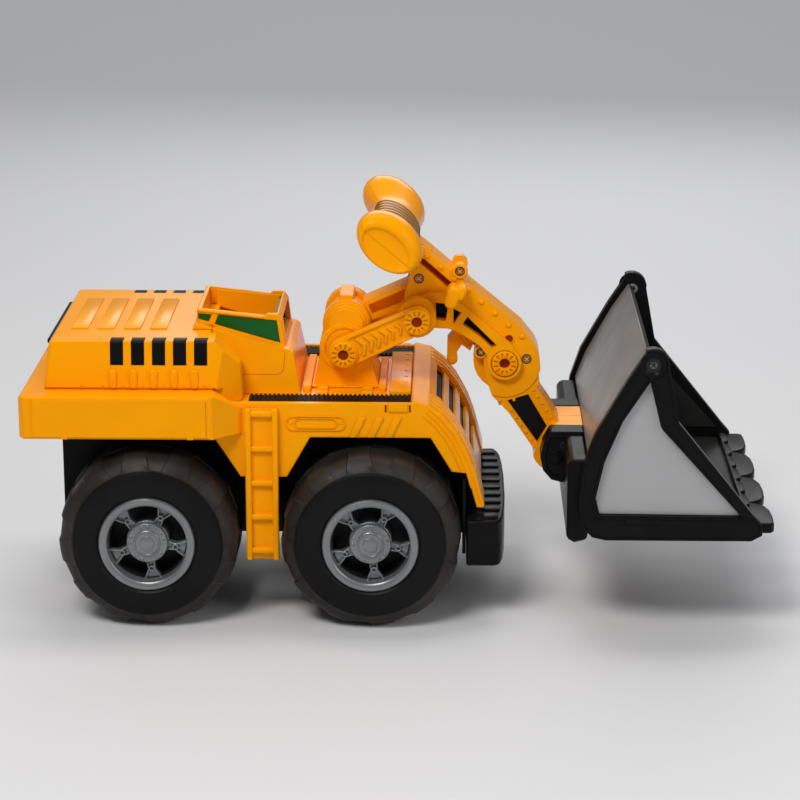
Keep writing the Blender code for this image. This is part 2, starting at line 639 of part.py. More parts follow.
def build_boom():
    made = [build_boom_half(label, s) for label, s in SIDES]
    core, level_pin, fitting = build_boom_parts()
    seat = plate("fitting_seat", [offset_closed(BOOM, 0.3)], 0, 30)
    frame = plate("fitting_truss_seat", [offset_closed(TRUSS, 0.3)], 0, 30)
    cut(fitting, seat, frame)
    made += [core, level_pin, finish(fitting, "yellow_plastic")]
    made += [build_grip_half("handle_upper", 0.0), build_grip_half("handle_lower", 180.0)]
    for label, s in SIDES:
        pin = pin_y("elbow_pin_" + label, ELBOW, 8.6, 14.3, 18.4, s, 16)
        join(pin, pin_y("elbow_shaft_" + label, ELBOW, 4.0, 0.6, 15, s, 12))
        cut(pin, pin_y("elbow_hole_" + label, ELBOW, 3.1, 17.0, 30, s, 10))
        made.append(finish(pin, "yellow_plastic"))
    hold(boom_axis, *made)


def offset_closed(points, distance):
    """A clockwise closed outline grown by distance."""
    grown = offset_path([points[-1]] + points + [points[0]], distance)
    return grown[1:-1]


build_boom()


def build_trigger():
    axis = empty_at("trigger_axis", TRIGGER[0], 0, TRIGGER[1], boom_axis)
    bar = pin_y("trigger_slider", TRIGGER, 1.7, 0, 34, 0, 12)
    for label, s in SIDES:
        big = pin_y("knob_big_" + label, (TRIGGER[0] - 0.9, TRIGGER[1] - 0.6), 6.2, 18.2, 36, s, 12)
        small = pin_y("knob_small_" + label, (TRIGGER[0] + 4.2, TRIGGER[1] + 1.4), 4.6, 18.6, 35.6, s, 10)
        join(bar, bevel(big, 1.5, 1, 50), bevel(small, 1.2, 1, 50))
    hold(axis, finish(bar, "yellow_plastic"))


build_trigger()

# ---- stick ----
stick_axis = empty_at("elbow_axis", ELBOW[0], 0, ELBOW[1], boom_axis)
INSET = [(71.2, 131.2), (84.9, 135.4), (97.6, 113.6), (91.2, 102.6)]


def build_stick_half(label, s):
    top = arc(ELBOW, PARTING_R + GAP, -109, -31, 8)
    beam = top + [(92.2, 144.6), (91.9, 141.6), (90.7, 139.9), (99.8, 126.4), (105.2, 117.0), (96, 92),
                  (90.3, 96.0), (72.3, 122.7)]
    half = plate("stick_" + label, [beam], -3, BOOM_HALF, s)
    foot = [(100.4, 117.0), (120.8, 117.0), (120.2, 113), (118.6, 103)]
    foot += arc(HINGE, 15.3, 0, -160, 12) + [(90, 101)]
    join(half, plate("foot_" + label, [foot], -4, 22.0, s))
    disc = pin_y("stick_disc_" + label, ELBOW, 20.5, -5, 8.0, s, 24)
    neck = [(60, 141.5), (66, 126), (84, 131), (82, 146)]
    join(half, disc, plate("stick_neck_" + label, [neck], -6, 7.8, s))
    cut(half, plate("inset_" + label, [INSET], -5, 40, s))
    cut(half, pin_y("stick_elbow_bore_" + label, ELBOW, 4.3, -8, 20, s))
    cut(half, pin_y("bucket_bore_" + label, HINGE, 4.3, -7, 40, s))
    cut(half, pin_y("spring_room_" + label, HINGE, 9.5, -5, 8.4, s))
    cut(half, other_half("stick", s))
    return finish(half, "yellow_plastic")


def build_spring():
    """A torsion coil round the bucket pin, lying loose in its pocket."""
    data = bpy.data.curves.new("return_spring", "CURVE")
    data.dimensions = "3D"
    data.bevel_depth = 0.8 * MM
    data.bevel_resolution = 0
    data.use_fill_caps = True
    turns, per_turn, reach = 3.0, 10, 5.6
    count = int(turns * per_turn) + 1
    spline = data.splines.new("POLY")
    spline.points.add(count - 1)
    for i in range(count):
        a = 2.0 * math.pi * i / per_turn
        r = 7.0
        y = -reach + 2.0 * reach * i / (count - 1)
        x, z = HINGE[0] + r * math.cos(a), HINGE[1] + r * math.sin(a)
        spline.points[i].co = (x * MM, y * MM, z * MM, 1.0)
    curve = bpy.data.objects.new("spring_curve", data)
    bpy.context.scene.collection.objects.link(curve)
    bpy.context.view_layer.update()
    made = bpy.data.meshes.new_from_object(curve.evaluated_get(bpy.context.evaluated_depsgraph_get()))
    bpy.data.objects.remove(curve, do_unlink=True)
    bm = bmesh.new()
    bm.from_mesh(made)
    bmesh.ops.remove_doubles(bm, verts=bm.verts, dist=0.00001)
    return finish(solid_from("return_spring", bm), "steel")


def build_stick():
    made = [build_stick_half(label, s) for label, s in SIDES]
    core_outline = offset_closed(INSET, -GAP)
    core = plate("stick_core", [core_outline], 0, 12.4)
    rod_at = (82.0, 126.0)
    ends = [(rod_at[0] + STICK_DIR[0] * t, rod_at[1] + STICK_DIR[1] * t) for t in (-40, 40)]
    n = (STICK_DIR[1] * 2.3, -STICK_DIR[0] * 2.3)
    channel = [(ends[0][0] + n[0], ends[0][1] + n[1]), (ends[1][0] + n[0], ends[1][1] + n[1]),
               (ends[1][0] - n[0], ends[1][1] - n[1]), (ends[0][0] - n[0], ends[0][1] - n[1])]
    cut(core, plate("rod_channel", [channel], 0, 2.3))
    pin = pin_y("bucket_pin", HINGE, 4.0, 0, 38.0)
    hold(stick_axis, *made, finish(core, "black_plastic"), finish(pin, "steel"), build_spring())
    a = (rod_at[0] - STICK_DIR[0] * 1.0, rod_at[1] - STICK_DIR[1] * 1.0)
    b = (rod_at[0] + STICK_DIR[0] * 13.0, rod_at[1] + STICK_DIR[1] * 13.0)
    rod = plate("stick_rod", [capsule(a, b, 1.5, None, 4)], 0, 1.5)
    axis = empty_at("stick_rod_axis", rod_at[0], 0, rod_at[1], stick_axis)
    hold(axis, finish(rod, "steel"))


build_stick()

# ---- bucket ----
bucket_axis = empty_at("bucket_axis", HINGE[0], 0, HINGE[1], stick_axis)
BACK = [(157.4, 183.5), (146.6, 167.5), (137.6, 151.5), (127.8, 133), (121, 113), (118.2, 93.4), (118.2, 84),
        (120.4, 76.5), (126, 71.2), (134, 69.8), (222, 69.8)]
FRAME = [(154.7, 187.6), (143.1, 169.7), (134.3, 154.1), (124.3, 136), (117.4, 115.4), (114.9, 93.4),
         (114.8, 83.6), (117.3, 74.5), (123.5, 68), (132, 66), (224, 66), (231, 69.8), (231, 76),
         (225.4, 82.5), (176.5, 143.5), (169.6, 180.5)] + arc((159.5, 181), 10.5, 8, 118, 6)
PANEL = [(158.1, 170.5), (165.8, 139.8), (217.9, 81.8), (127.8, 82.5), (125.2, 93.5), (130.5, 117.9),
         (141.4, 144.5)]


def build_bucket():
    made = []
    for label, s in SIDES:
        frame = plate("bucket_frame_" + label, [FRAME], FRAME_Y0, FRAME_Y1, s)
        bevel(frame, 0.8, 1, 50.0)
        cut(frame, plate("panel_room_" + label, [PANEL], 90, 120, s))
        panel = plate("bucket_panel_" + label, [offset_closed(PANEL, -GAP)], FRAME_Y0, 103.5, s)
        made += [finish(frame, "black_plastic"), finish(panel, "grey_plastic")]
    skin = BACK + offset_path(BACK, 3.0)[::-1]
    shell = plate("bucket_shell", [skin], 0, SHELL_Y)
    made.append(finish(shell, "grey_plastic"))
    teeth = []
    for i in range(4):
        mid = -84.0 + 56.0 * i
        teeth += [(226, mid - 27), (234, mid - 24), (238.5, mid - 16), (240, mid), (238.5, mid + 16),
                  (234, mid + 24)]
    outline = [(222.3, -SHELL_Y)] + [(x, max(-SHELL_Y, min(SHELL_Y, y))) for x, y in teeth]
    outline += [(226, SHELL_Y), (222.3, SHELL_Y)]
    lip = bevel(prism("bucket_lip", "xy", [outline], 68.8, 76.2), 1.5, 1, 50.0)
    made.append(finish(lip, "black_plastic"))
    beam = [(108, 112), (110.5, 115.5), (120.9, 115.5), (120.0, 111), (117.9, 94), (117.8, 83.8), (119.8, 76.2),
            (122.6, 72.8), (121, 62), (113, 60), (108, 63)]
    mount = bevel(plate("bucket_mount", [beam], 0, 95), 1.5, 1, 50.0)
    for label, s in SIDES:
        cheek = [(120.8, 117.4), (99, 117.4), (94.5, 109), (92.6, 100), (94.5, 91), (100, 84.5), (110, 82),
                 (117.7, 83), (117.7, 93)]
        join(mount, bevel(plate("cheek_" + label, [cheek], 22.5, 40, s), 0.8, 1, 50.0))
    cut(mount, block("foot_notch", 80, 140, -22.4, 22.4, 83.0, 130), pin_y("mount_bore", HINGE, 4.3, 0, 60))
    made.append(finish(mount, "black_plastic"))
    hold(bucket_axis, *made)


build_bucket()

# ---- put the origin under the middle of the whole ----
bpy.context.view_layer.update()
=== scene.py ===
"""Looks for the toy front loader: materials, detailed pieces, floor, lights and camera."""
import bpy
import bmesh
import math
from mathutils import Matrix, Vector


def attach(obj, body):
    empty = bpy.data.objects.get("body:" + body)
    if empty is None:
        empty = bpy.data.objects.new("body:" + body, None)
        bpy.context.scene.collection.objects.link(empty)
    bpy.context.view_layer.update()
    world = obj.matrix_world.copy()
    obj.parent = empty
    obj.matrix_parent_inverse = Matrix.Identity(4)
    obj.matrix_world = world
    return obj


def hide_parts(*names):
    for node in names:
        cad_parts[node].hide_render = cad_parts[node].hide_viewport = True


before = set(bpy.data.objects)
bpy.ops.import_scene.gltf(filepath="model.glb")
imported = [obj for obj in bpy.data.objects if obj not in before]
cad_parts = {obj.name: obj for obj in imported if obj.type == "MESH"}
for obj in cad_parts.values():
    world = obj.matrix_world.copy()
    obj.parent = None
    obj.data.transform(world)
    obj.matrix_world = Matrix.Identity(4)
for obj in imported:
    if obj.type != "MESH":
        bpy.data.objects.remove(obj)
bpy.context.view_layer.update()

MM = 0.001
SIDES = (("right", -1), ("left", 1))

# ---- places, millimetres ----
WHEEL_Z = 58.0
SPOKE_ANGLE = 61.0
AXLES = {"front": -17.0, "rear": -160.0}
A1 = (-36.1, 167.7)
B1 = (11.6, 190.0)
A2 = (-34.5, 184.5)
ELBOW = (69.1, 157.2)
HINGE = (103.0, 100.0)
TRIGGER = (36.2, 206.0)
GRIP = (-2.0, 244.5)
GRIP_ANGLE = -40.0
DECK_Z = 143.5
BODY_SIDE = 75.0
BADGE_Z = 132.8
DRUM = (-35.6, 170.3)
BOSS_SCREW = (39.3, 218.5)
ROOT_SCREW = (12.6, 213.5)
LOW_SCREW = (53.4, 163.9)
END_SCREW = (83.5, 159.6)
BOOM_HOLE = (71.8, 173.2)
NOSE = [(9, 147.5), (20, 145), (29, 138), (37.5, 127.3), (44.4, 114.5), (49.8, 101), (53.7, 87), (55.9, 78)]


# ---- materials ----
def shader_material(name, color, roughness, mottle=0.04, scale=60.0, bump=0.02, bump_scale=900.0, spread=0.06,
                    edge=0.0, **sockets):
    """Principled plastic or metal with soft colour mottling, uneven gloss and a fine grain."""
    mat = bpy.data.materials.new(name)
    mat.use_nodes = True
    tree = mat.node_tree
    shader = tree.nodes["Principled BSDF"]
    place = tree.nodes.new("ShaderNodeTexCoord")
    cloud = tree.nodes.new("ShaderNodeTexNoise")
    cloud.inputs["Scale"].default_value = scale
    cloud.inputs["Detail"].default_value = 4.0
    tree.links.new(place.outputs["Object"], cloud.inputs["Vector"])
    ramp = tree.nodes.new("ShaderNodeValToRGB")
    ramp.color_ramp.elements[0].position = 0.3
    ramp.color_ramp.elements[1].position = 0.7
    ramp.color_ramp.elements[0].color = (*[c * (1.0 - mottle) for c in color], 1.0)
    ramp.color_ramp.elements[1].color = (*[min(1.0, c * (1.0 + mottle)) for c in color], 1.0)
    tree.links.new(cloud.outputs["Fac"], ramp.inputs["Fac"])
    tree.links.new(ramp.outputs["Color"], shader.inputs["Base Color"])
    smear = tree.nodes.new("ShaderNodeTexNoise")
    smear.inputs["Scale"].default_value = scale * 2.5
    smear.inputs["Detail"].default_value = 6.0
    tree.links.new(place.outputs["Object"], smear.inputs["Vector"])
    span = tree.nodes.new("ShaderNodeMapRange")
    span.inputs["To Min"].default_value = max(0.02, roughness - spread)
    span.inputs["To Max"].default_value = min(1.0, roughness + spread)
    tree.links.new(smear.outputs["Fac"], span.inputs["Value"])
    tree.links.new(span.outputs["Result"], shader.inputs["Roughness"])
    grain = tree.nodes.new("ShaderNodeTexNoise")
    grain.inputs["Scale"].default_value = bump_scale
    grain.inputs["Detail"].default_value = 3.0
    tree.links.new(place.outputs["Object"], grain.inputs["Vector"])
    relief = tree.nodes.new("ShaderNodeBump")
    relief.inputs["Strength"].default_value = bump
    relief.inputs["Distance"].default_value = 0.0004
    tree.links.new(grain.outputs["Fac"], relief.inputs["Height"])
    tree.links.new(relief.outputs["Normal"], shader.inputs["Normal"])
    if edge > 0.0:
        soft = tree.nodes.new("ShaderNodeBevel")
        soft.samples = 4
        soft.inputs["Radius"].default_value = edge * MM
        tree.links.new(soft.outputs["Normal"], relief.inputs["Normal"])
    for key, value in sockets.items():
        shader.inputs[key.replace("_", " ")].default_value = value
    return mat


YELLOW = shader_material("yellow_plastic", (1.0, 0.365, 0.002), 0.24, 0.035, 25.0, 0.012, 1200.0, 0.05, 0.9,
                         Specular_IOR_Level=0.6, Specular_Tint=(1.0, 0.58, 0.14, 1.0), IOR=1.25)
# Painted shade: a darker, orange copy of the yellow, for the door grooves, the boom slot, the cab seat and
# the rear lamp plates.
YELLOW_SHADED = shader_material("yellow_painted_shade", (0.72, 0.16, 0.001), 0.50, 0.06, 30.0, 0.012, 1200.0, 0.05,
                              0.5,
                              Specular_IOR_Level=0.25)
# Painted shade: a deep red-brown for the shade at the bottom of holes, in pin wells and in the gaps beside
# the side tab.
RECESS_SHADE = shader_material("deep_painted_shade", (0.24, 0.030, 0.001), 0.80, 0.10, 30.0, 0.012, 1200.0, 0.05,
                       Specular_IOR_Level=0.1)
BLACK = shader_material("black_plastic", (0.0060, 0.0060, 0.0064), 0.32, 0.20, 40.0, 0.05, 1500.0, 0.08, 0.7,
                        Specular_IOR_Level=0.35, IOR=1.2)
RIBBED = shader_material("black_ribbed", (0.0085, 0.0080, 0.0075), 0.55, 0.25, 60.0, 0.05, 1500.0, 0.08,
                         Specular_IOR_Level=0.3, IOR=1.2)
TREAD = shader_material("tyre_tread", (0.019, 0.0155, 0.0130), 0.50, 0.45, 28.0, 0.10, 600.0, 0.12,
                        Specular_IOR_Level=0.28)
SIDEWALL = shader_material("tyre_sidewall", (0.0060, 0.0060, 0.0062), 0.45, 0.20, 30.0, 0.04, 900.0, 0.08,
                           Specular_IOR_Level=0.12)
SILVER = shader_material("silver_plastic", (0.22, 0.228, 0.235), 0.32, 0.08, 50.0, 0.03, 1500.0, 0.06, 0.4,
                         Metallic=0.55)
PANEL_GREY = shader_material("panel_grey", (0.40, 0.40, 0.41), 0.36, 0.05, 18.0, 0.02, 260.0, 0.05,
                             Metallic=0.25)
SHELL_GREY = shader_material("bucket_grey", (0.25, 0.235, 0.215), 0.32, 0.16, 30.0, 0.02, 220.0, 0.08,
                             Metallic=0.35)
FLOOR_GREY = shader_material("bucket_floor", (0.022, 0.021, 0.020), 0.38, 0.25, 30.0, 0.04, 300.0, 0.08,
                             Specular_IOR_Level=0.3, IOR=1.2)
STEEL = shader_material("steel", (0.42, 0.42, 0.43), 0.30, 0.10, 80.0, 0.03, 2000.0, 0.08, Metallic=1.0)
GLAZING = shader_material("green_glazing", (0.003, 0.100, 0.008), 0.20, 0.10, 30.0, 0.005, 900.0, 0.03,
                          Specular_IOR_Level=0.2)
SCREW_STEEL = shader_material("screw_steel", (0.16, 0.16, 0.17), 0.28, 0.10, 80.0, 0.03, 2000.0, 0.08,
                              Metallic=1.0)
# Painted shade: near-black for the screw seats, the back of the rims, the engine liner and the bucket boss
# wells.
SHADE_BLACK = shader_material("dark_painted_shade", (0.003, 0.003, 0.003), 0.6, 0.1, 40.0, 0.03, 900.0, 0.05)


# ---- mesh helpers ----
PLANES = {
    "xz": Matrix(((1, 0, 0, 0), (0, 0, -1, 0), (0, 1, 0, 0), (0, 0, 0, 1))),
    "yz": Matrix(((0, 0, 1, 0), (1, 0, 0, 0), (0, 1, 0, 0), (0, 0, 0, 1))),
    "xy": Matrix.Identity(4),
}
ACROSS = {"xz": Vector((0, 1, 0)), "yz": Vector((1, 0, 0)), "xy": Vector((0, 0, 1))}


def arc(centre, radius, start, end, steps):
    """Points along an arc; angles in degrees."""
    out = []
    for i in range(steps + 1):
        a = math.radians(start + (end - start) * i / steps)
        out.append((centre[0] + radius * math.cos(a), centre[1] + radius * math.sin(a)))
    return out


def circle(centre, radius, steps=32):
    return arc(centre, radius, 0.0, 360.0, steps)[:-1]


def capsule(a, b, ra, rb=None, steps=14):
    """Outline round two circles and their shared tangents."""
    rb = ra if rb is None else rb
    lean = math.degrees(math.atan2(b[1] - a[1], b[0] - a[0]))
    reach = math.hypot(b[0] - a[0], b[1] - a[1])
    side = 90.0 - math.degrees(math.asin((ra - rb) / reach))
    return (arc(b, rb, lean - side, lean + side, steps)
            + arc(a, ra, lean + side, lean + 360.0 - side, steps))


def box2(x0, x1, z0, z1):
    return [(x0, z0), (x1, z0), (x1, z1), (x0, z1)]


def turn2(points, centre, angle):
    """Points turned about a centre by degrees."""
    c, s = math.cos(math.radians(angle)), math.sin(math.radians(angle))
    return [(centre[0] + (x - centre[0]) * c - (z - centre[1]) * s,
             centre[1] + (x - centre[0]) * s + (z - centre[1]) * c) for x, z in points]


def lerp2(a, b, t):
    return (a[0] + (b[0] - a[0]) * t, a[1] + (b[1] - a[1]) * t)


def outline_bm(plane, outlines, lo, hi):
    """Closed prism of a 2D outline with any holes after it."""
    data = bpy.data.curves.new("outline", "CURVE")
    data.dimensions = "2D"
    data.fill_mode = "BOTH"
    data.extrude = (hi - lo) * 0.5 * MM
    for points in outlines:
        spline = data.splines.new("POLY")
        spline.points.add(len(points) - 1)
        for slot, (a, b) in zip(spline.points, points):
            slot.co = (a * MM, b * MM, 0.0, 1.0)
        spline.use_cyclic_u = True
    curve = bpy.data.objects.new("outline", data)
    bpy.context.scene.collection.objects.link(curve)
    bpy.context.view_layer.update()
    made = bpy.data.meshes.new_from_object(curve.evaluated_get(bpy.context.evaluated_depsgraph_get()))
    bpy.data.objects.remove(curve, do_unlink=True)
    bm = bmesh.new()
    bm.from_mesh(made)
    bpy.data.meshes.remove(made)
    bmesh.ops.remove_doubles(bm, verts=bm.verts, dist=0.000002)
    bmesh.ops.dissolve_limit(bm, angle_limit=0.001, verts=bm.verts, edges=bm.edges)
    shift = Matrix.Translation(ACROSS[plane] * (lo + hi) * 0.5 * MM)
    bmesh.ops.transform(bm, matrix=shift @ PLANES[plane], verts=bm.verts)
    bmesh.ops.recalc_face_normals(bm, faces=bm.faces)
    return bm


def round_edges(bm, width, segments=2, angle=40.0):
    if width > 0.0:
        limit = math.radians(angle)
        edges = [e for e in bm.edges if len(e.link_faces) == 2 and e.calc_face_angle(0.0) > limit]
        bmesh.ops.bevel(bm, geom=edges, offset=width * MM, segments=segments, profile=0.5, affect="EDGES",
                        clamp_overlap=True)
    return bm


def piece(name, bm, body, material, stands_for=(), sharp=35.0):
    """A finished, riding piece from mesh data in world metres."""
    data = bpy.data.meshes.new(name)
    bm.to_mesh(data)
    bm.free()
    obj = bpy.data.objects.new(name, data)
    bpy.context.scene.collection.objects.link(obj)
    materials = material if isinstance(material, list) else [material]
    for mat in materials:
        data.materials.append(mat)
    data.shade_smooth()
    data.set_sharp_from_angle(angle=math.radians(sharp))
    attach(obj, body)
    if stands_for:
        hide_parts(*stands_for)
    return obj


def sided(lo, hi, s):
    """The two limits on side s."""
    return (lo, hi) if s > 0 else (-hi, -lo)


def side_plate(outlines, lo, hi, s, width, segments=2, angle=40.0):
    """A rounded plate on side s, between two distances from the middle plane."""
    return round_edges(outline_bm("xz", outlines, *sided(lo, hi, s)), width, segments, angle)


def slab(name, plane, outlines, lo, hi, body, material, width=0.5, segments=2, **more):
    bm = outline_bm(plane, outlines, lo, hi)
    return piece(name, round_edges(bm, width, segments), body, material, **more)


def merge(target, other):
    """Put other's geometry into target and free it."""
    data = bpy.data.meshes.new("part")
    other.to_mesh(data)
    other.free()
    target.from_mesh(data)
    bpy.data.meshes.remove(data)
    return target


def lathe_bm(profile, steps, at, out):
    """A (radius, out) profile turned about the line through at; it closes on the axis or on itself."""
    bm = bmesh.new()
    out = Vector(out).normalized()
    side = out.orthogonal().normalized()
    up = out.cross(side)
    base = Vector(at)
    rings = []
    for r, h in profile:
        if r < 1e-6:
            rings.append([bm.verts.new((base + out * h) * MM)])
            continue
        row = []
        for i in range(steps):
            a = 2.0 * math.pi * i / steps
            row.append(bm.verts.new((base + out * h + (side * math.cos(a) + up * math.sin(a)) * r) * MM))
        rings.append(row)
    pairs = list(zip(rings, rings[1:]))
    if profile[0][0] > 1e-6 and profile[-1][0] > 1e-6:
        pairs.append((rings[-1], rings[0]))
    for a, b in pairs:
        for i in range(steps):
            j = (i + 1) % steps
            if len(a) == 1 and len(b) == 1:
                continue
            if len(a) == 1:
                bm.faces.new((a[0], b[j], b[i]))
            elif len(b) == 1:
                bm.faces.new((a[i], a[j], b[0]))
            else:
                bm.faces.new((a[i], a[j], b[j], b[i]))
    bmesh.ops.recalc_face_normals(bm, faces=bm.faces)
    return bm


def side_lathe(profile, steps, centre, s):
    """A shape turned about a crosswise line at centre, facing side s."""
    return lathe_bm(profile, steps, (centre[0], 0, centre[1]), (0, s, 0))


def dome(at, out, radius, height, steps=14, rings=3):
    """A low rivet head standing on a face; its foot is sunk a little."""
    profile = [(0.0, -0.3), (radius, -0.3), (radius, 0.0)]
    for i in range(1, rings + 1):
        a = math.pi / 2 * i / rings
        profile.append((radius * math.cos(a) if i < rings else 0.0, height * math.sin(a)))
    return lathe_bm(profile, steps, at, out)


def domes(name, places, out, radius, height, body, material):
    bm = bmesh.new()
    for at in places:
        merge(bm, dome(at, out(at) if callable(out) else out, radius, height))
    return piece(name, bm, body, material)


def boolean_bm(bm, tools):
    """Exact cut of mesh data; the tools are used up."""
    def as_object(source, label):
        data = bpy.data.meshes.new(label)
        source.to_mesh(data)
        source.free()
        obj = bpy.data.objects.new(label, data)
        bpy.context.scene.collection.objects.link(obj)
        return obj
    base = as_object(bm, "base")
    used = [as_object(tool, "tool") for tool in tools]
    for tool in used:
        mod = base.modifiers.new("b", "BOOLEAN")
        mod.operation = "DIFFERENCE"
        mod.solver = "EXACT"
        mod.object = tool
    bpy.context.view_layer.update()
    made = bpy.data.meshes.new_from_object(base.evaluated_get(bpy.context.evaluated_depsgraph_get()))
    out = bmesh.new()
    out.from_mesh(made)
    bpy.data.meshes.remove(made)
    for obj in [base] + used:
        bpy.data.objects.remove(obj, do_unlink=True)
    return out


def screw(name, at, out, radius, body):
    """A cross-head screw sunk in a ring of painted shade."""
    head = lathe_bm([(0.0, -1.6), (radius, -1.6), (radius, -0.3), (radius * 0.8, 0.05), (0.0, 0.25)], 24, at,
                    out)
    n = Vector(out).normalized()
    side = n.orthogonal().normalized()
    up = n.cross(side)
    tools = []
    for a, b in ((side, up), (up, -side)):
        bar = bmesh.new()
        bmesh.ops.create_cube(bar, size=1.0)
        depth = 1.8 if a is side else 2.1
        size = Matrix.Diagonal((radius * 1.4 * MM, radius * 0.38 * MM, depth * MM, 1.0))
        m = Matrix((a, b, n)).transposed().to_4x4() @ size
        bmesh.ops.transform(bar, matrix=Matrix.Translation(Vector(at) * MM) @ m, verts=bar.verts)
        tools.append(bar)
    piece(name, boolean_bm(head, tools), body, SCREW_STEEL)
    # Near-black ring of painted shade round the head, where the screw sinks in.
    seat = lathe_bm([(radius * 1.02, -0.25), (radius * 1.32, -0.25), (radius * 1.32, 0.12), (radius * 1.02,
                                                                                             0.12)], 24, at,
                    out)
    piece(name + "_seat", seat, body, SHADE_BLACK)


# ---- CAD pieces that keep their shape get their finish ----
FINISH = (
    (YELLOW, "body_shell engine_cover cab_shell pedestal centre_arm boom_right boom_left hose_fitting "
             "stick_right stick_left ladder_right ladder_left"),
    (BLACK, "chassis hood_grille boom_core stick_core bucket_pin bucket_mount bucket_frame_right "
            "bucket_frame_left front_bumper tread_strip_right tread_strip_left bucket_lip"),
    (STEEL, "axle_front axle_rear arm_pin level_pin return_spring stick_rod"),
    (PANEL_GREY, "bucket_panel_right bucket_panel_left"),
    (FLOOR_GREY, "bucket_shell"),
    (GLAZING, "cab_glazing"),
    # The engine liner is a near-black sheet of painted shade behind the vents.
    (SHADE_BLACK, "engine_liner"),
)
for material, nodes in FINISH:
    for node in nodes.split():
        slots = bpy.data.objects[node].data.materials
        slots.clear()
        slots.append(material)


# ---- wheels ----
def tyre_bm(x, s):
    """Tyre with a slanted, blocky tread of shallow grooves over its shoulders."""
    profile = [(31.3, 34), (31.3, 97.2), (33.0, 98.5), (40.0, 99.0), (45.5, 98.9), (47.4, 98.2), (48.6, 96.6),
               (50.0, 95.2),
               (52.6, 93.6), (55.0, 91.6), (56.8, 89.2), (57.7, 86.0), (58.0, 81.0), (58.0, 67.0),
               (58.0, 65.0),
               (58.0, 51.0), (57.7, 46.0), (56.8, 42.8), (55.0, 40.4), (52.6, 38.4), (50.0, 36.8),
               (47.4, 34.6), (45.0, 33.4),
               (40.0, 33.0), (33.0, 33.2)]
    blocks = 12
    bm = bmesh.new()
    rows = []
    for r, y in profile:
        tread = r > 49.0
        half = 4.6 + 0.42 * (r - 49.0) if tread else 5.0
        stagger = 7.5 if y < 66.0 else -7.5
        columns = [-half, -half + 1.1, half - 1.1, half, 10.0, 15.0, 20.0]
        row = []
        for k in range(blocks):
            for c, column in enumerate(columns):
                a = math.radians(30.0 * k + column + stagger)
                rr = r - (0.9 if tread and c in (1, 2) else 0.0)
                row.append(bm.verts.new(((x + rr * math.cos(a)) * MM, s * y * MM,
                                         (WHEEL_Z + rr * math.sin(a)) * MM)))
        rows.append(row)
    n = len(rows[0])
    for a, b in zip(rows, rows[1:] + rows[:1]):
        for i in range(n):
            j = (i + 1) % n
            f = bm.faces.new((a[i], a[j], b[j], b[i]))
            mid = sum((v.co for v in f.verts), Vector()) / 4.0
            f.material_index = 0 if math.hypot(mid.x / MM - x, mid.z / MM - WHEEL_Z) > 48.0 else 1
    bmesh.ops.recalc_face_normals(bm, faces=bm.faces)
    return bm


def rim_bm(x, s):
    at = (x, 0.0, WHEEL_Z)
    out = (0.0, s, 0.0)
    ring = lathe_bm([(31.0, 34), (31.0, 97.6), (30.3, 98.6), (29.2, 98.9), (26.9, 98.5), (25.8, 97.6),
                     (25.3, 95.6),
                     (25.2, 90.0), (24.9, 84.0), (24.9, 60.0), (24.9, 34.0)], 72, at, out)
    hub = lathe_bm([(3.3, 40.0), (3.3, 90.6), (13.0, 90.6), (13.6, 90.2), (13.8, 89.0), (13.8, 40.0)], 48, at,
                   out)
    bm = merge(ring, hub)
    centre = (x, WHEEL_Z)
    for i in range(5):
        mid = SPOKE_ANGLE + 72.0 * i
        spoke = [(13.4, 12.0), (16.0, 8.4), (18.6, 7.2), (21.0, 8.4), (23.4, 10.6), (25.5, 13.4)]
        shape = [polar(centre, r, mid - h) for r, h in spoke] + [polar(centre, r, mid + h) for r,
                                                                 h in reversed(spoke)]
        merge(bm, side_plate([shape], 86.0, 90.2, s, 0.4, 2, 60.0))
        for turn in (-1, 1):
            rib = [polar(centre, 13.4, mid + turn * 8.0), polar(centre, 18.6, mid + turn * 4.0),
                   polar(centre, 25.6, mid + turn * 9.8), polar(centre, 25.6, mid + turn * 13.4),
                   polar(centre, 18.6, mid + turn * 7.2), polar(centre, 13.4, mid + turn * 12.0)]
            merge(bm, side_plate([rib], 88.0, 92.2, s, 0.3, 2, 60.0))
        px, pz = polar(centre, 18.2, mid)
        merge(bm, lathe_bm([(1.0, 88.0), (2.1, 88.0), (2.1, 92.6), (1.8, 92.9), (1.3, 92.9), (1.0, 92.6)], 20,
                           (px, 0, pz), out))
    return bm


def polar(centre, radius, angle):
    """The point at a radius and an angle in degrees."""
    a = math.radians(angle)
    return (centre[0] + radius * math.cos(a), centre[1] + radius * math.sin(a))


def cap_bm(x, s):
    at = (x, 0.0, WHEEL_Z)
    out = (0.0, s, 0.0)
    bm = lathe_bm([(0.0, 90.8), (12.8, 90.8), (13.2, 91.4), (13.2, 94.2), (12.8, 94.8), (12.2, 95.0),
                   (9.2, 95.0),
                   (8.7, 95.2), (8.5, 96.1), (8.1, 96.4), (7.6, 96.3), (7.3, 95.6), (0.0, 95.6)], 48, at, out)
    hexagon = [polar((x, WHEEL_Z), 4.9, 60.0 * k + 15.0) for k in range(6)]
    merge(bm, side_plate([hexagon], 95.0, 96.8, s, 0.35, 2, 50.0))
    for i in range(5):
        for j in (-1, 1):
            px, pz = polar((x, WHEEL_Z), 11.3, SPOKE_ANGLE + 36.0 + 72.0 * i + j * 10.5)
            merge(bm, dome((px, s * 95.0, pz), out, 0.95, 0.8, 12))
    return bm


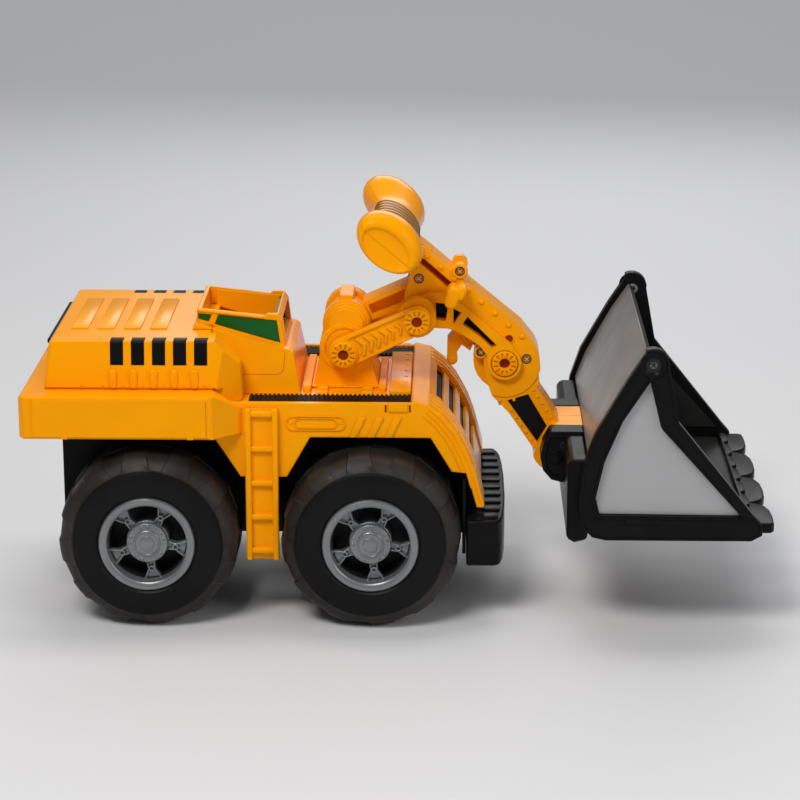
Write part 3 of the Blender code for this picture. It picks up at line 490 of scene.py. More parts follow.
for end, x in AXLES.items():
    for label, s in SIDES:
        body = "wheel_%s_%s" % (end, label)
        piece("tyre_%s_%s_look" % (end, label), tyre_bm(x, s), body, [TREAD, SIDEWALL],
              ("tyre_%s_%s" % (end, label),), 30.0)
        piece("rim_%s_%s_look" % (end, label), rim_bm(x, s), body, SILVER, ("rim_%s_%s" % (end, label),))
        piece("cap_%s_%s_look" % (end, label), cap_bm(x, s), body, SILVER, ("hub_cap_%s_%s" % (end, label),))
        # A near-black disc of painted shade behind the spokes.
        back = side_lathe([(4.0, 72.0), (24.1, 72.0), (24.5, 90.6), (24.8, 90.6), (24.8, 70.0), (4.0, 70.0)],
                          48, (x, WHEEL_Z), s)
        piece("rim_back_%s_%s" % (end, label), back, body, SHADE_BLACK)


# ---- body details ----
def nose_at(x):
    for a, b in zip(NOSE, NOSE[1:]):
        if a[0] <= x <= b[0]:
            return lerp2(a, b, (x - a[0]) / (b[0] - a[0]))
    return NOSE[-1]


def beside(path, distance):
    """An open path moved to its right by distance."""
    out = []
    for i, p in enumerate(path):
        a, b = path[max(i - 1, 0)], path[min(i + 1, len(path) - 1)]
        d = Vector((b[0] - a[0], b[1] - a[1])).normalized()
        out.append((p[0] + d.y * distance, p[1] - d.x * distance))
    return out


def band_on_nose(y0, y1, start, rise, x0, x1, steps=14):
    """A strip that follows the nose between two half-widths."""
    bm = bmesh.new()
    rows = []
    for i in range(steps + 1):
        x = x0 + (x1 - x0) * i / steps
        p = nose_at(x)
        q = nose_at(min(x + 0.6, NOSE[-1][0]))
        o = nose_at(max(x - 0.6, NOSE[0][0]))
        n = Vector((-(q[1] - o[1]), q[0] - o[0])).normalized()
        fade = min(1.0, 4.0 * i / steps, 4.0 * (steps - i) / steps)
        hi = start + (rise - start) * max(fade, 0.15)
        quad = []
        for y, h in ((y0, start), (y0 + 0.7, hi), (y1 - 0.7, hi), (y1, start)):
            quad.append(bm.verts.new(((p[0] + n.x * h) * MM, y * MM, (p[1] + n.y * h) * MM)))
        rows.append(quad)
    for a, b in zip(rows, rows[1:]):
        for k in range(4):
            m = (k + 1) % 4
            bm.faces.new((a[k], a[m], b[m], b[k]))
    bm.faces.new(rows[0])
    bm.faces.new(rows[-1])
    bmesh.ops.recalc_face_normals(bm, faces=bm.faces)
    return bm


def build_body_details():
    ridges = bmesh.new()
    for _, s in SIDES:
        for y0, y1 in ((44.5, 50.5), (53.5, 59.5), (62.5, 68.5)):
            a, b = sided(y0, y1, s)
            merge(ridges, band_on_nose(a, b, -0.3, 0.9, 17.0, 55.5))
    piece("nose_ridges", ridges, "truck", YELLOW, sharp=28.0)
    for label, s in SIDES:
        lines = bmesh.new()
        for near, far, end in ((1.6, 2.9, 0), (4.6, 5.9, 1), (7.6, 8.9, 2)):
            edge = [(22, 144.2)] + NOSE[2:7 - end] + [lerp2(NOSE[6 - end], NOSE[7 - end], 0.7)]
            shape = beside(edge, near) + beside(edge, far)[::-1]
            merge(lines, side_plate([shape], 74.5, 75.7, s, 0.4, 2, 50.0))
        piece("fender_lines_" + label, lines, "truck", YELLOW)
    for label, s in SIDES:
        y0, y1 = sided(74.6, 75.9, s)
        frame_out = capsule((-66.8, BADGE_Z), (-38.0, BADGE_Z), 4.9)
        frame_in = capsule((-66.8, BADGE_Z), (-38.0, BADGE_Z), 4.1)
        slab("badge_ring_" + label, "xz", [frame_out, frame_in], y0, y1, "truck", YELLOW, 0.25, 1)
        inner_out = capsule((-62.6, BADGE_Z), (-42.2, BADGE_Z), 3.5)
        inner_in = capsule((-62.6, BADGE_Z), (-42.2, BADGE_Z), 2.8)
        slab("badge_inner_" + label, "xz", [inner_out, inner_in], y0, y1, "truck", YELLOW, 0.2, 1)
        domes("badge_dots_" + label, [(-68.4, BODY_SIDE * s, BADGE_Z), (-36.4, BODY_SIDE * s, BADGE_Z)],
              (0, s, 0), 1.3, 0.6, "truck", YELLOW)
        bars = bmesh.new()
        for i in range(3):
            x = -31.2 + 11.4 * i
            shape = [(x, 123.6), (x + 4.9, 123.6), (x + 11.2, 137.4), (x + 6.3, 137.4)]
            merge(bars, side_plate([shape], 74.6, 76.4, s, 0.6, 2))
        piece("side_bars_" + label, bars, "truck", YELLOW)
        tab = side_plate([box2(-6.0, 6.4, 140.2, 146.6)], 73.0, 76.2, s, 1.0, 2)
        piece("side_tab_" + label, tab, "truck", YELLOW)
        # Red-brown strips of painted shade in the gaps beside the tab.
        gap = bmesh.new()
        for x in (-8.2, 7.2):
            merge(gap, outline_bm("xz", [box2(x, x + 1.2, 140.4, 145.0)], *sided(74.5, 75.25, s)))
        piece("side_tab_gap_shade_" + label, gap, "truck", RECESS_SHADE)
        raised = [(-231, 127.6), (-213, 127.6), (-213, 126.4), (-209, 126.4), (-209, 127.6), (-133, 127.6),
                  (-133, 126.4),
                  (-129, 126.4), (-129, 127.6), (-120.9, 127.6), (-120.9, 152.4), (-231, 152.4)]
        slab("rear_side_plate_" + label, "xz", [raised], *sided(91.6, 93.0, s), "truck", YELLOW, 0.4, 2)
    # riveted panel behind the nose, cross bars and blocks on the deck
    slab("deck_panel", "xy", [box2(-6, 8.0, -50, 50)], DECK_Z - 0.2, 147.3, "truck", YELLOW, 0.8, 2)
    places = [(4.6, y, 147.2) for y in (-42, -28, -14, 0, 14, 28, 42)]
    domes("deck_rivets", places, (0, 0, 1), 1.3, 0.6, "truck", YELLOW)
    for k, (x0, x1, reach, height) in enumerate(((-62.2, -57.0, 41.0, 147.8), (-13.2, -8.2, 38.0, 146.6))):
        bm = outline_bm("xy", [box2(x0 + 0.5, x1 - 0.5, -reach, reach)], DECK_Z - 0.2, height - 1.2)
        count = int(reach / 3.2)
        for i in range(-count, count + 1):
            y = i * 3.2
            merge(bm, round_edges(outline_bm("xy", [box2(x0, x1, y - 1.15, y + 1.15)], DECK_Z - 0.2, height),
                                  0.35, 1))
        piece("deck_ribs_%d" % k, bm, "truck", YELLOW)
    blocks = bmesh.new()
    for y in (-44, -33, 33, 44):
        for x0, x1 in ((-24, -17), (-53, -46)):
            merge(blocks, round_edges(outline_bm("xy", [box2(x0, x1, y - 4, y + 4)], DECK_Z - 0.2, 145.6),
                                      0.5, 2))
    piece("deck_blocks", blocks, "truck", YELLOW)
    # ribs across the tread strips
    for label, s in SIDES:
        bm = outline_bm("xy", [box2(-96, 8.0, *sided(51, 70, s))], DECK_Z + 0.3, 144.6)
        x = -95.4
        while x < 7.0:
            merge(bm, round_edges(outline_bm("xy", [box2(x, x + 1.5, *sided(51, 70, s))], DECK_Z + 0.3,
                                             145.6), 0.3, 1))
            x += 2.9
        piece("tread_strip_look_" + label, bm, "truck", RIBBED, ("tread_strip_" + label,))


def build_bumper():
    right = [(44.3, -80), (61.5, -80), (64.5, -79), (66.4, -76), (68.0, -68), (69.2, -50), (70, -22)]
    outline = right + [(x, -y) for x, y in reversed(right)]
    bm = round_edges(outline_bm("xy", [outline], 38.5, 69.0), 1.6, 3)
    for i in range(10):
        y = -70.2 + 15.6 * i
        reach = 67.0 - 4.0 * (abs(y) / 80.0) ** 4
        rib = [(50.0, y - 5.4), (reach - 1.5, y - 5.4), (reach, y - 3.6), (reach, y + 3.6), (reach - 1.5, y
                                                                                             + 5.4),
               (50.0, y + 5.4)]
        merge(bm, round_edges(outline_bm("xy", [rib], 68.0, 70.6), 0.7, 2))
    piece("front_bumper_look", bm, "truck", BLACK, ("front_bumper",))


def build_ladders():
    for label, s in SIDES:
        back = outline_bm("xz", [box2(-97.4, -76.4, 41.6, 142.9)], *sided(75.3, 76.7, s))
        for x0, x1 in ((-97.5, -93.6), (-80.2, -76.3)):
            merge(back, side_plate([box2(x0, x1, 41.5, 143)], 75.4, 80.5, s, 1.1, 3))
        for z in (139.5, 116.4, 93.3, 70.6, 47.8):
            merge(back, side_plate([box2(-94.2, -79.6, z - 1.9, z + 1.9)], 75.4, 80.0, s, 1.2, 3))
        piece("ladder_look_" + label, back, "truck", YELLOW, ("ladder_" + label,))


build_body_details()
build_bumper()
build_ladders()


# ---- engine cover and cab details ----
def cover_y(z):
    """Half-width of the engine cover at height z."""
    return 74.3 + (70.0 - 74.3) * (z - 154.0) / 31.0


def build_cover_details():
    for label, s in SIDES:
        pills = bmesh.new()
        for i in range(5):
            x = -129.5 - 13.0 * i
            y = cover_y(158.0)
            shape = capsule((x, 157.3), (x, 164.6), 2.7)
            merge(pills, side_plate([shape], y - 1.6, y + 1.5, s, 1.4, 4))
        piece("cover_pills_" + label, pills, "truck", YELLOW)
        places = [(-123.0 - 13.0 * i, cover_y(156.8) * s, 156.8) for i in range(7)]
        domes("cover_rivets_" + label, places, (0, s, 0), 1.1, 0.6, "truck", YELLOW)
        blades = bmesh.new()
        for i in range(5):
            x0 = -143.0 - 13.4 * (i - 1)
            shape = [(60.5, 184.9), (68.6, 184.9), (69.6, 184.2), (71.6, 170.0), (69.4, 170.0), (67.6, 182.4),
                     (60.5, 182.4)]
            shape = [(y * s, z) for y, z in shape]
            merge(blades, outline_bm("yz", [shape], x0 + 0.4, x0 + 8.0))
        piece("vent_blades_" + label, blades, "truck", BLACK)
    top = bmesh.new()
    for i in range(4):
        x = -212.0 + 17.0 * i
        merge(top, round_edges(outline_bm("xy", [box2(x, x + 11, -40, 40)], 184.5, 186.2), 0.6, 2))
    piece("cover_top_ribs", top, "truck", YELLOW)
    rear = bmesh.new()
    for z in (160, 166, 172, 178):
        merge(rear, round_edges(outline_bm("yz", [box2(-50, 50, z, z + 3)], -226.2, -221.5), 0.5, 1))
    piece("cover_rear_slats", rear, "truck", BLACK)
    # Rear lamp plates in the darker, shaded copy of the yellow.
    lamps = bmesh.new()
    for y in (-68, 68):
        merge(lamps, round_edges(outline_bm("yz", [box2(y - 13, y + 13, 134, 148)], -240.8, -239.0), 0.6, 2))
    piece("rear_lamp_plates", lamps, "truck", YELLOW_SHADED)


def cab_side_y(z):
    """Half-width of the cab at height z."""
    return 45.5 - 5.5 * max(0.0, min(1.0, (z - 145.0) / 27.0))


def groove(path, s, width, lift, y_of):
    """A thin strip that follows a drafted side, for a line of painted shade."""
    bm = bmesh.new()
    rows = []
    for i, p in enumerate(path):
        a = path[max(i - 1, 0)]
        b = path[min(i + 1, len(path) - 1)]
        d = Vector((b[0] - a[0], b[1] - a[1])).normalized()
        n = (-d.y * width * 0.5, d.x * width * 0.5)
        row = []
        for q in ((p[0] + n[0], p[1] + n[1]), (p[0] - n[0], p[1] - n[1])):
            for h in (-0.4, lift):
                row.append(bm.verts.new((q[0] * MM, s * (y_of(q[1]) + h) * MM, q[1] * MM)))
        rows.append([row[0], row[1], row[3], row[2]])
    for a, b in zip(rows, rows[1:]):
        for k in range(4):
            m = (k + 1) % 4
            bm.faces.new((a[k], a[m], b[m], b[k]))
    bm.faces.new(rows[0])
    bm.faces.new(rows[-1])
    bmesh.ops.recalc_face_normals(bm, faces=bm.faces)
    return bm


def build_cab_details():
    for label, s in SIDES:
        # The door and handle lines are thin strips of painted shade in the shaded yellow.
        door = [(-73.6, 170.5), (-74.4, 161.0)] + arc((-79.6, 161.5), 5.3, -8, -90, 5) + [(-92, 156.2),
                                                                                          (-104, 156.2)]
        lines = groove(door, s, 0.45, 0.04, cab_side_y)
        merge(lines, groove([(-106.6, 178.6), (-106.9, 174), (-107.2, 167)], s, 0.45, 0.04, cab_side_y))
        piece("cab_door_line_shade_" + label, lines, "truck", YELLOW_SHADED)
        knob = capsule((-106.9, 167.6), (-106.9, 169.4), 1.0)
        slab("cab_door_knob_" + label, "xz", [knob], *sided(40.6, 42.2, s), "truck", YELLOW, 0.4, 2)
        wall = [(-123.5, 184.4), (-80.2, 171.6), (-80.2, 192.4), (-88.0, 192.2), (-123.5, 195.9)]
        slab("cab_inner_wall_" + label, "xz", [wall], *sided(27.2, 28.1, s), "truck", YELLOW, 0.2, 1)
        pane = [(-119.4, 187.1), (-77.3, 174.8), (-79.4, 189.4), (-117.1, 193.2)]
        slab("cab_pane_" + label, "xz", [pane], *sided(31.4, 32.5, s), "truck", GLAZING, 0.15, 1)
        corner_pane = [(-130.3, 190.6), (-123.4, 188.7), (-121.2, 193.5), (-130.3, 194.4)]
        slab("cab_corner_pane_" + label, "xz", [corner_pane], *sided(32.4, 33.15, s), "truck", GLAZING, 0.15,
             1)
        rim = [(-131, 195.5), (-124, 194.9), (-88.5, 190.9), (-87.5, 192.0), (-124, 196.2), (-131, 196.8)]
        slab("cab_rim_" + label, "xz", [rim], *sided(32.6, 33.9, s), "truck", YELLOW, 0.35, 2)
    # The seat inside the cab is painted shade, in the shaded copy of the yellow.
    seat = round_edges(outline_bm("xz", [[(-116, 158.6), (-96, 158.6), (-96, 164.5), (-108, 164.5),
                                          (-111, 178), (-116, 178)]], -16, 16), 1.2, 3)
    bmesh.ops.transform(seat, matrix=Matrix.Translation((0, 0, 0.0036)), verts=seat.verts)
    piece("cab_seat_block", seat, "truck", YELLOW_SHADED)


build_cover_details()
build_cab_details()


# ---- pedestal and links ----
def build_pedestal_details():
    for label, s in SIDES:
        rim = side_lathe([(12.2, 26.6), (16.3, 26.6), (16.3, 27.2), (15.6, 27.8), (13.0, 27.8), (12.2, 27.2)],
                         56, DRUM, s)
        piece("pedestal_rim_" + label, rim, "truck", YELLOW)
        dots = [polar(DRUM, 14.3, a) for a in range(15, 200, 25)]
        domes("pedestal_dots_" + label, [(x, 27.7 * s, z) for x, z in dots], (0, s, 0), 0.9, 0.35, "truck",
              YELLOW)
        steps = side_lathe([(0.0, 20.6), (14.7, 20.6), (14.7, 22.3), (14.2, 22.8), (13.1, 22.8), (13.1, 24.3),
                            (12.6, 24.8), (11.5, 24.8),
                          (11.5, 26.1), (11.0, 26.6), (0.0, 26.6)], 56, A2, s)
        piece("pedestal_steps_" + label, steps, "truck", YELLOW)
    foot = [(x, y, DECK_Z + 1.4) for x in (-51, -35, -19) for y in (-28.6, 28.6)]
    domes("pedestal_rivets", foot, (0, 0, 1), 1.2, 0.6, "truck", YELLOW)


def pin_head(name, centre, y0, y1, s, body, stands_for, hole=3.4):
    """Round pivot head with a centre hole and twelve short radial slots."""
    at = (centre[0], 0.0, centre[1])
    out = (0.0, s, 0.0)
    head = lathe_bm([(hole, y0), (8.3, y0), (8.6, y0 + 0.4), (8.6, y1 - 0.9), (8.3, y1 - 0.25), (7.8, y1),
                     (hole + 0.9, y1),
                     (hole + 0.3, y1 - 0.2), (hole, y1 - 0.8)], 60, at, out)
    tools = []
    for i in range(12):
        a = 15.0 + 30.0 * i
        shape = capsule(polar(centre, 5.0, a), polar(centre, 7.1, a), 0.55, None, 4)
        tools.append(outline_bm("xz", [shape], *sided(y1 - 1.1, y1 + 1.0, s)))
    cutter = tools[0]
    for tool in tools[1:]:
        merge(cutter, tool)
    piece(name, boolean_bm(head, [cutter]), body, YELLOW, stands_for, 40.0)
    # A red-brown disc of painted shade at the bottom of the centre hole.
    plug = lathe_bm([(0.0, y0 + 0.1), (hole + 0.05, y0 + 0.1), (hole + 0.05, y0 + 0.6), (0.0, y0 + 0.6)], 30,
                    at, out)
    piece(name + "_well", plug, body, RECESS_SHADE)


def build_link(label, s):
    body = "side_link_" + label
    outer = capsule(A1, B1, 10.0, 9.0, 20)
    bore_a = circle(A1, 3.8, 24)
    bore_b = circle(B1, 3.6, 24)
    bm = side_plate([outer, bore_a, bore_b], 28.0, 34.6, s, 0.5, 2, 60.0)
    lean = math.degrees(math.atan2(B1[1] - A1[1], B1[0] - A1[0]))
    span = math.hypot(B1[0] - A1[0], B1[1] - A1[1])

    def local(u, v):
        return turn2([(A1[0] + u, A1[1] + v)], A1, lean)[0]
    for v0, v1 in ((7.7, 9.4), (-9.4, -7.7)):
        shape = [local(4, v0), local(span - 3, v0 * 0.92), local(span - 3, v1 * 0.92), local(4, v1)]
        merge(bm, side_plate([shape], 34.0, 36.0, s, 0.6, 2, 60.0))
    for centre, r in ((A1, 10.0), (B1, 9.0)):
        merge(bm, side_plate([circle(centre, r - 0.1, 48), circle(centre, 3.8, 24)], 34.0, 36.0, s, 0.5, 2,
                             60.0))
    for i in range(6):
        u = 10.6 + 5.5 * i
        h = 6.3 - 0.5 * i
        w = 2.5 - 0.15 * i
        tip = 3.4 - 0.22 * i
        shape = [local(u, h), local(u + w, h), local(u + w + tip, 0), local(u + w, -h), local(u, -h),
                 local(u + tip, 0)]
        merge(bm, side_plate([shape], 34.2, 36.0, s, 0.45, 2, 60.0))
    piece("side_link_look_" + label, bm, body, YELLOW, ("side_link_" + label,))
    pin_head("lift_pin_look_" + label, A1, 36.3, 38.8, s, body, ("lift_pin_" + label,))
    pin_head("link_pin_look_" + label, B1, 36.3, 38.8, s, body, ("link_pin_" + label,))


build_pedestal_details()
for label, s in SIDES:
    build_link(label, s)
    pin_head("elbow_pin_look_" + label, ELBOW, 14.3, 18.9, s, "boom", ("elbow_pin_" + label,), 3.5)


# ---- boom details ----
def build_boom_details():
    top = [(17.9, 228.6), (80.3, 174.6)]
    for label, s in SIDES:
        places = []
        for i in range(8):
            x, z = lerp2(top[0], top[1], i / 7.0)
            places.append((x, 14.0 * s, z))
        domes("boom_rivets_" + label, places, (0, s, 0), 1.9, 1.2, "boom", YELLOW)
        boss = side_lathe([(0.0, 9.0), (5.2, 9.0), (5.2, 14.6), (4.6, 15.3), (3.4, 15.3), (3.0, 14.6),
                           (0.0, 14.6)], 36, BOSS_SCREW, s)
        piece("boom_boss_" + label, boss, "boom", YELLOW)
        low = side_lathe([(0.0, 9.0), (4.6, 9.0), (4.6, 13.6), (4.0, 14.2), (3.1, 14.2), (2.8, 13.6),
                          (0.0, 13.6)], 32, LOW_SCREW, s)
        piece("boom_low_boss_" + label, low, "boom", YELLOW)
        for spot, (x, z), y in (("boss", BOSS_SCREW, 14.8), ("root", ROOT_SCREW, 14.1),
                                ("low", LOW_SCREW, 13.9), ("end", END_SCREW, 14.1)):
            screw("screw_%s_%s" % (spot, label), (x, y * s, z), (0, s, 0), 2.5, "boom")
        hole = side_lathe([(2.6, 13.8), (3.5, 13.8), (3.5, 14.4), (3.1, 14.6), (2.6, 14.4)], 28, BOOM_HOLE, s)
        piece("boom_hole_ring_" + label, hole, "boom", YELLOW)
        # A red-brown disc of painted shade inside the hole.
        well = side_lathe([(0.0, 13.6), (2.6, 13.6), (2.6, 14.1), (0.0, 14.1)], 24, BOOM_HOLE, s)
        piece("boom_hole_" + label, well, "boom", RECESS_SHADE)
        shade = [[(23.0, 199.0), (32.6, 198.2), (31.0, 185.3), (23.4, 186.1)], [(34.6, 195.5), (41.4, 192.0),
                                                                                (34.8, 182.8)],
                 [(44.6, 190.0), (65.0, 169.8), (61.0, 166.6), (52.2, 174.7), (40.0, 183.6)]]
        dark = bmesh.new()
        for outline in shade:
            merge(dark, outline_bm("xz", [outline], *sided(9.0, 10.0, s)))
        piece("truss_shade_" + label, dark, "boom", BLACK)
    slot_end = (TRIGGER[0] + 3.2, TRIGGER[1] - 2.9)
    slot_start = (TRIGGER[0] - 22.5, TRIGGER[1] + 20.0)
    # A flat strip of painted shade, in the shaded yellow, inside the slot.
    slab("boom_slot_shade", "xz", [capsule(slot_start, slot_end, 3.4)], -0.9, 0.9, "boom", YELLOW_SHADED, 0.2, 1)
    ball = lathe_bm([(0.0, -6.2), (2.2, -6.0), (3.4, -5.0), (3.7, -3.4), (3.7, 3.4), (3.4, 5.0), (2.2, 6.0),
                     (0.0, 6.2)], 28, (34.6, 0, 156.4), (0, 1, 0))
    piece("fitting_ball", ball, "boom", YELLOW)
    ribs = bmesh.new()
    for i in range(3):
        p = (41.6 + 2.1 * i, 169.2 + 1.0 * i)
        bar = turn2(box2(p[0] - 0.5, p[0] + 0.5, p[1] - 5.0, p[1] + 4.0), p, 35)
        merge(ribs, round_edges(outline_bm("xz", [bar], -6.2, 6.2), 0.3, 1, 60.0))
    piece("fitting_ribs", ribs, "boom", YELLOW)


# ---- grip ----
GRIP_BANDS = 6
BAND_START = -20.0
BAND_PITCH = 8.0
BAND_STEPS = 72


def grip_point(along, up):
    a = math.radians(GRIP_ANGLE)
    return (GRIP[0] + along * math.cos(a) - up * math.sin(a), GRIP[1] + along * math.sin(a)
            + up * math.cos(a))


SECTIONS = [(0.0, 17.5, 10.0, 0), (16, 17.5, 10.0, 0), (26, 17.6, 10.1, 0), (34, 18.4, 10.9, 0.1),
            (42, 20.4, 13.0, 0.3),
            (50, 22.5, 15.5, 0.5), (57, 23.5, 16.5, 0.4), (63.0, 23.2, 16.1, 0.1), (66.4, 22.2, 14.8, -0.7),
            (68.4, 20.6, 13.0, -1.8),
            (69.2, 18.8, 11.5, -2.6), (68.8, 17.4, 10.4, -3.0), (67.8, 16.2, 9.5, -3.2), (67.2, 13.0, 7.4,
                                                                                          -3.2),
            (67.0, 6.5, 3.6, -3.2)]


def spline_sections(per):
    """Smooth in-between sections by Catmull-Rom."""
    out = []
    pts = [(-16, 17.5, 10.0, 0)] + SECTIONS + [SECTIONS[-1]]
    for i in range(1, len(pts) - 2):
        p0, p1, p2, p3 = pts[i - 1], pts[i], pts[i + 1], pts[i + 2]
        for k in range(per):
            t = k / per
            out.append(tuple(0.5 * ((2 * b) + (-a + c) * t + (2 * a - 5 * b + 4 * c - d) * t * t
                                    + (-a + 3 * b - 3 * c + d) * t ** 3) for a, b, c, d in zip(p0, p1, p2,
                                                                                               p3)))
    out.append(SECTIONS[-1])
    return out


def knob_shift(y):
    """How far the knobs sit back along the section at y."""
    return -4.6 * max(0.0, min(1.0, (abs(y) - 30.0) / 20.0))


def grip_ring(bm, y, long, short, up, steps, start, gap):
    """Half a ring of the grip; gap parts the two halves."""
    row = []
    for i in range(steps + 1):
        a = math.radians(start + 180.0 * i / steps)
        x, z = grip_point(long * math.cos(a) + knob_shift(y), short * math.sin(a) + gap + up)
        row.append(bm.verts.new((x * MM, y * MM, z * MM)))
    return row


def build_grip():
    half = spline_sections(3)
    rows = [(-y, a, b, c) for y, a, b, c in reversed(half)] + half[1:]
    steps = 36
    for name, start, gap in (("handle_upper", 0.0, 0.05), ("handle_lower", 180.0, -0.05)):
        bm = bmesh.new()
        made = [grip_ring(bm, y, a, b, c, steps, start, gap) for y, a, b, c in rows]
        for r0, r1 in zip(made, made[1:]):
            for i in range(steps):
                bm.faces.new((r0[i], r0[i + 1], r1[i + 1], r1[i]))
        bm.faces.new(made[0])
        bm.faces.new(made[-1])
        seam = bm.faces.new([r[0] for r in made] + [r[steps] for r in reversed(made)])
        bmesh.ops.triangulate(bm, faces=[seam])
        bmesh.ops.recalc_face_normals(bm, faces=bm.faces)
        socket = [grip_point(3.6, -4.8), grip_point(40, -4.8), grip_point(40, 4.8), grip_point(3.6, 4.8)]
        bm = boolean_bm(bm, [outline_bm("xz", [socket], -9.3, 9.3)])
        piece(name + "_look", bm, "boom", YELLOW, (name,), 50.0)
    for k in range(GRIP_BANDS):
        mid = BAND_START + BAND_PITCH * k
        bm = bmesh.new()
        rings = []
        for y, lift in ((mid - 2.25, -0.6), (mid - 2.25, 0.12), (mid - 2.0, 0.18), (mid + 2.0, 0.18),
                        (mid + 2.25, 0.12), (mid + 2.25, -0.6)):
            row = []
            for i in range(BAND_STEPS):
                a = 2 * math.pi * i / BAND_STEPS
                x, z = grip_point((17.5 + lift) * math.cos(a), (10.0 + lift) * math.sin(a))
                row.append(bm.verts.new((x * MM, y * MM, z * MM)))
            rings.append(row)
        for a, b in zip(rings, rings[1:] + rings[:1]):
            for i in range(BAND_STEPS):
                j = (i + 1) % BAND_STEPS
                bm.faces.new((a[i], a[j], b[j], b[i]))
        bmesh.ops.recalc_face_normals(bm, faces=bm.faces)
        if abs(mid) < 12.0:
            slot_shape = [grip_point(9, -5.2), grip_point(40, -5.2), grip_point(40, 5.2), grip_point(9, 5.2)]
            bm = boolean_bm(bm, [outline_bm("xz", [slot_shape], -9.6, 9.6)])
        piece("grip_band_%d" % k, bm, "boom", BLACK, sharp=45.0)


def build_trigger():
    bm = lathe_bm([(0.0, -34.0), (1.7, -34.0), (1.7, 34.0), (0.0, 34.0)], 20, (TRIGGER[0], 0, TRIGGER[1]),
                  (0, 1, 0))
    for _, s in SIDES:
        for dx, dz, low, high, r, y0, y1 in ((-1.7, -1.0, -2.6, 3.0, 4.4, 18.2, 36.0), (3.6, 2.0, -1.2, 1.8,
                                                                                        3.5, 18.6, 35.6)):
            x, z = TRIGGER[0] + dx, TRIGGER[1] + dz
            lobe = capsule((x - 0.8, z + low), (x + 0.8, z + high), r)
            merge(bm, side_plate([lobe], y0, y1, s, 2.2, 5))
    piece("trigger_look", bm, "trigger", YELLOW, ("trigger_slider",), 40.0)


build_boom_details()
build_grip()
build_trigger()


# ---- stick ----
def build_stick_details():
    rows = [((74.0, 124.4), (90.6, 99.3), 6), ((88.2, 138.4), (100.2, 119.6), 5)]
    for label, s in SIDES:
        places = []
        for a, b, count in rows:
            for i in range(count):
                x, z = lerp2(a, b, i / (count - 1.0))
                places.append((x, 14.0 * s, z))
        places += [(66.4, 14.0 * s, 131.0), (75.6, 14.0 * s, 131.6)]
        domes("stick_rivets_" + label, places, (0, s, 0), 1.15, 0.7, "stick", YELLOW)


# ---- bucket ----
EYE = (159.5, 181)
BACK = [(157.4, 183.5), (146.6, 167.5), (137.6, 151.5), (127.8, 133), (121.6, 116.2)]
FRAME = [(154.7, 187.6), (143.1, 169.7), (134.3, 154.1), (124.3, 136), (117.4, 115.4), (114.9, 93.4),
         (114.8, 83.6),
         (117.3, 74.5), (123.5, 68), (132, 66), (224, 66), (231, 69.8), (231, 76), (225.4, 82.5),
         (176.5, 143.5),
         (169.6, 180.5)] + arc(EYE, 10.5, 8, 118, 6)
PANEL = [(158.1, 170.5), (165.8, 139.8), (217.9, 81.8), (127.8, 82.5), (125.2, 93.5), (130.5, 117.9),
         (141.4, 144.5)]


def grow(points, distance):
    """A closed outline moved outwards by distance, mitred; a negative distance shrinks it."""
    area = sum(a[0] * b[1] - b[0] * a[1] for a, b in zip(points, points[1:] + points[:1]))
    turn = 1.0 if area > 0.0 else -1.0
    out = []
    for i, p in enumerate(points):
        a, b = points[i - 1], points[(i + 1) % len(points)]
        d0 = Vector((p[0] - a[0], p[1] - a[1])).normalized()
        d1 = Vector((b[0] - p[0], b[1] - p[1])).normalized()
        n0 = Vector((d0.y, -d0.x)) * turn
        n1 = Vector((d1.y, -d1.x)) * turn
        m = (n0 + n1).normalized()
        k = min(distance / max(m.dot(n0), 0.4), 2.5 * distance) if distance > 0 else distance / max(m.dot(n0),
                                                                                                    0.4)
        out.append((p[0] + m.x * k, p[1] + m.y * k))
    return out


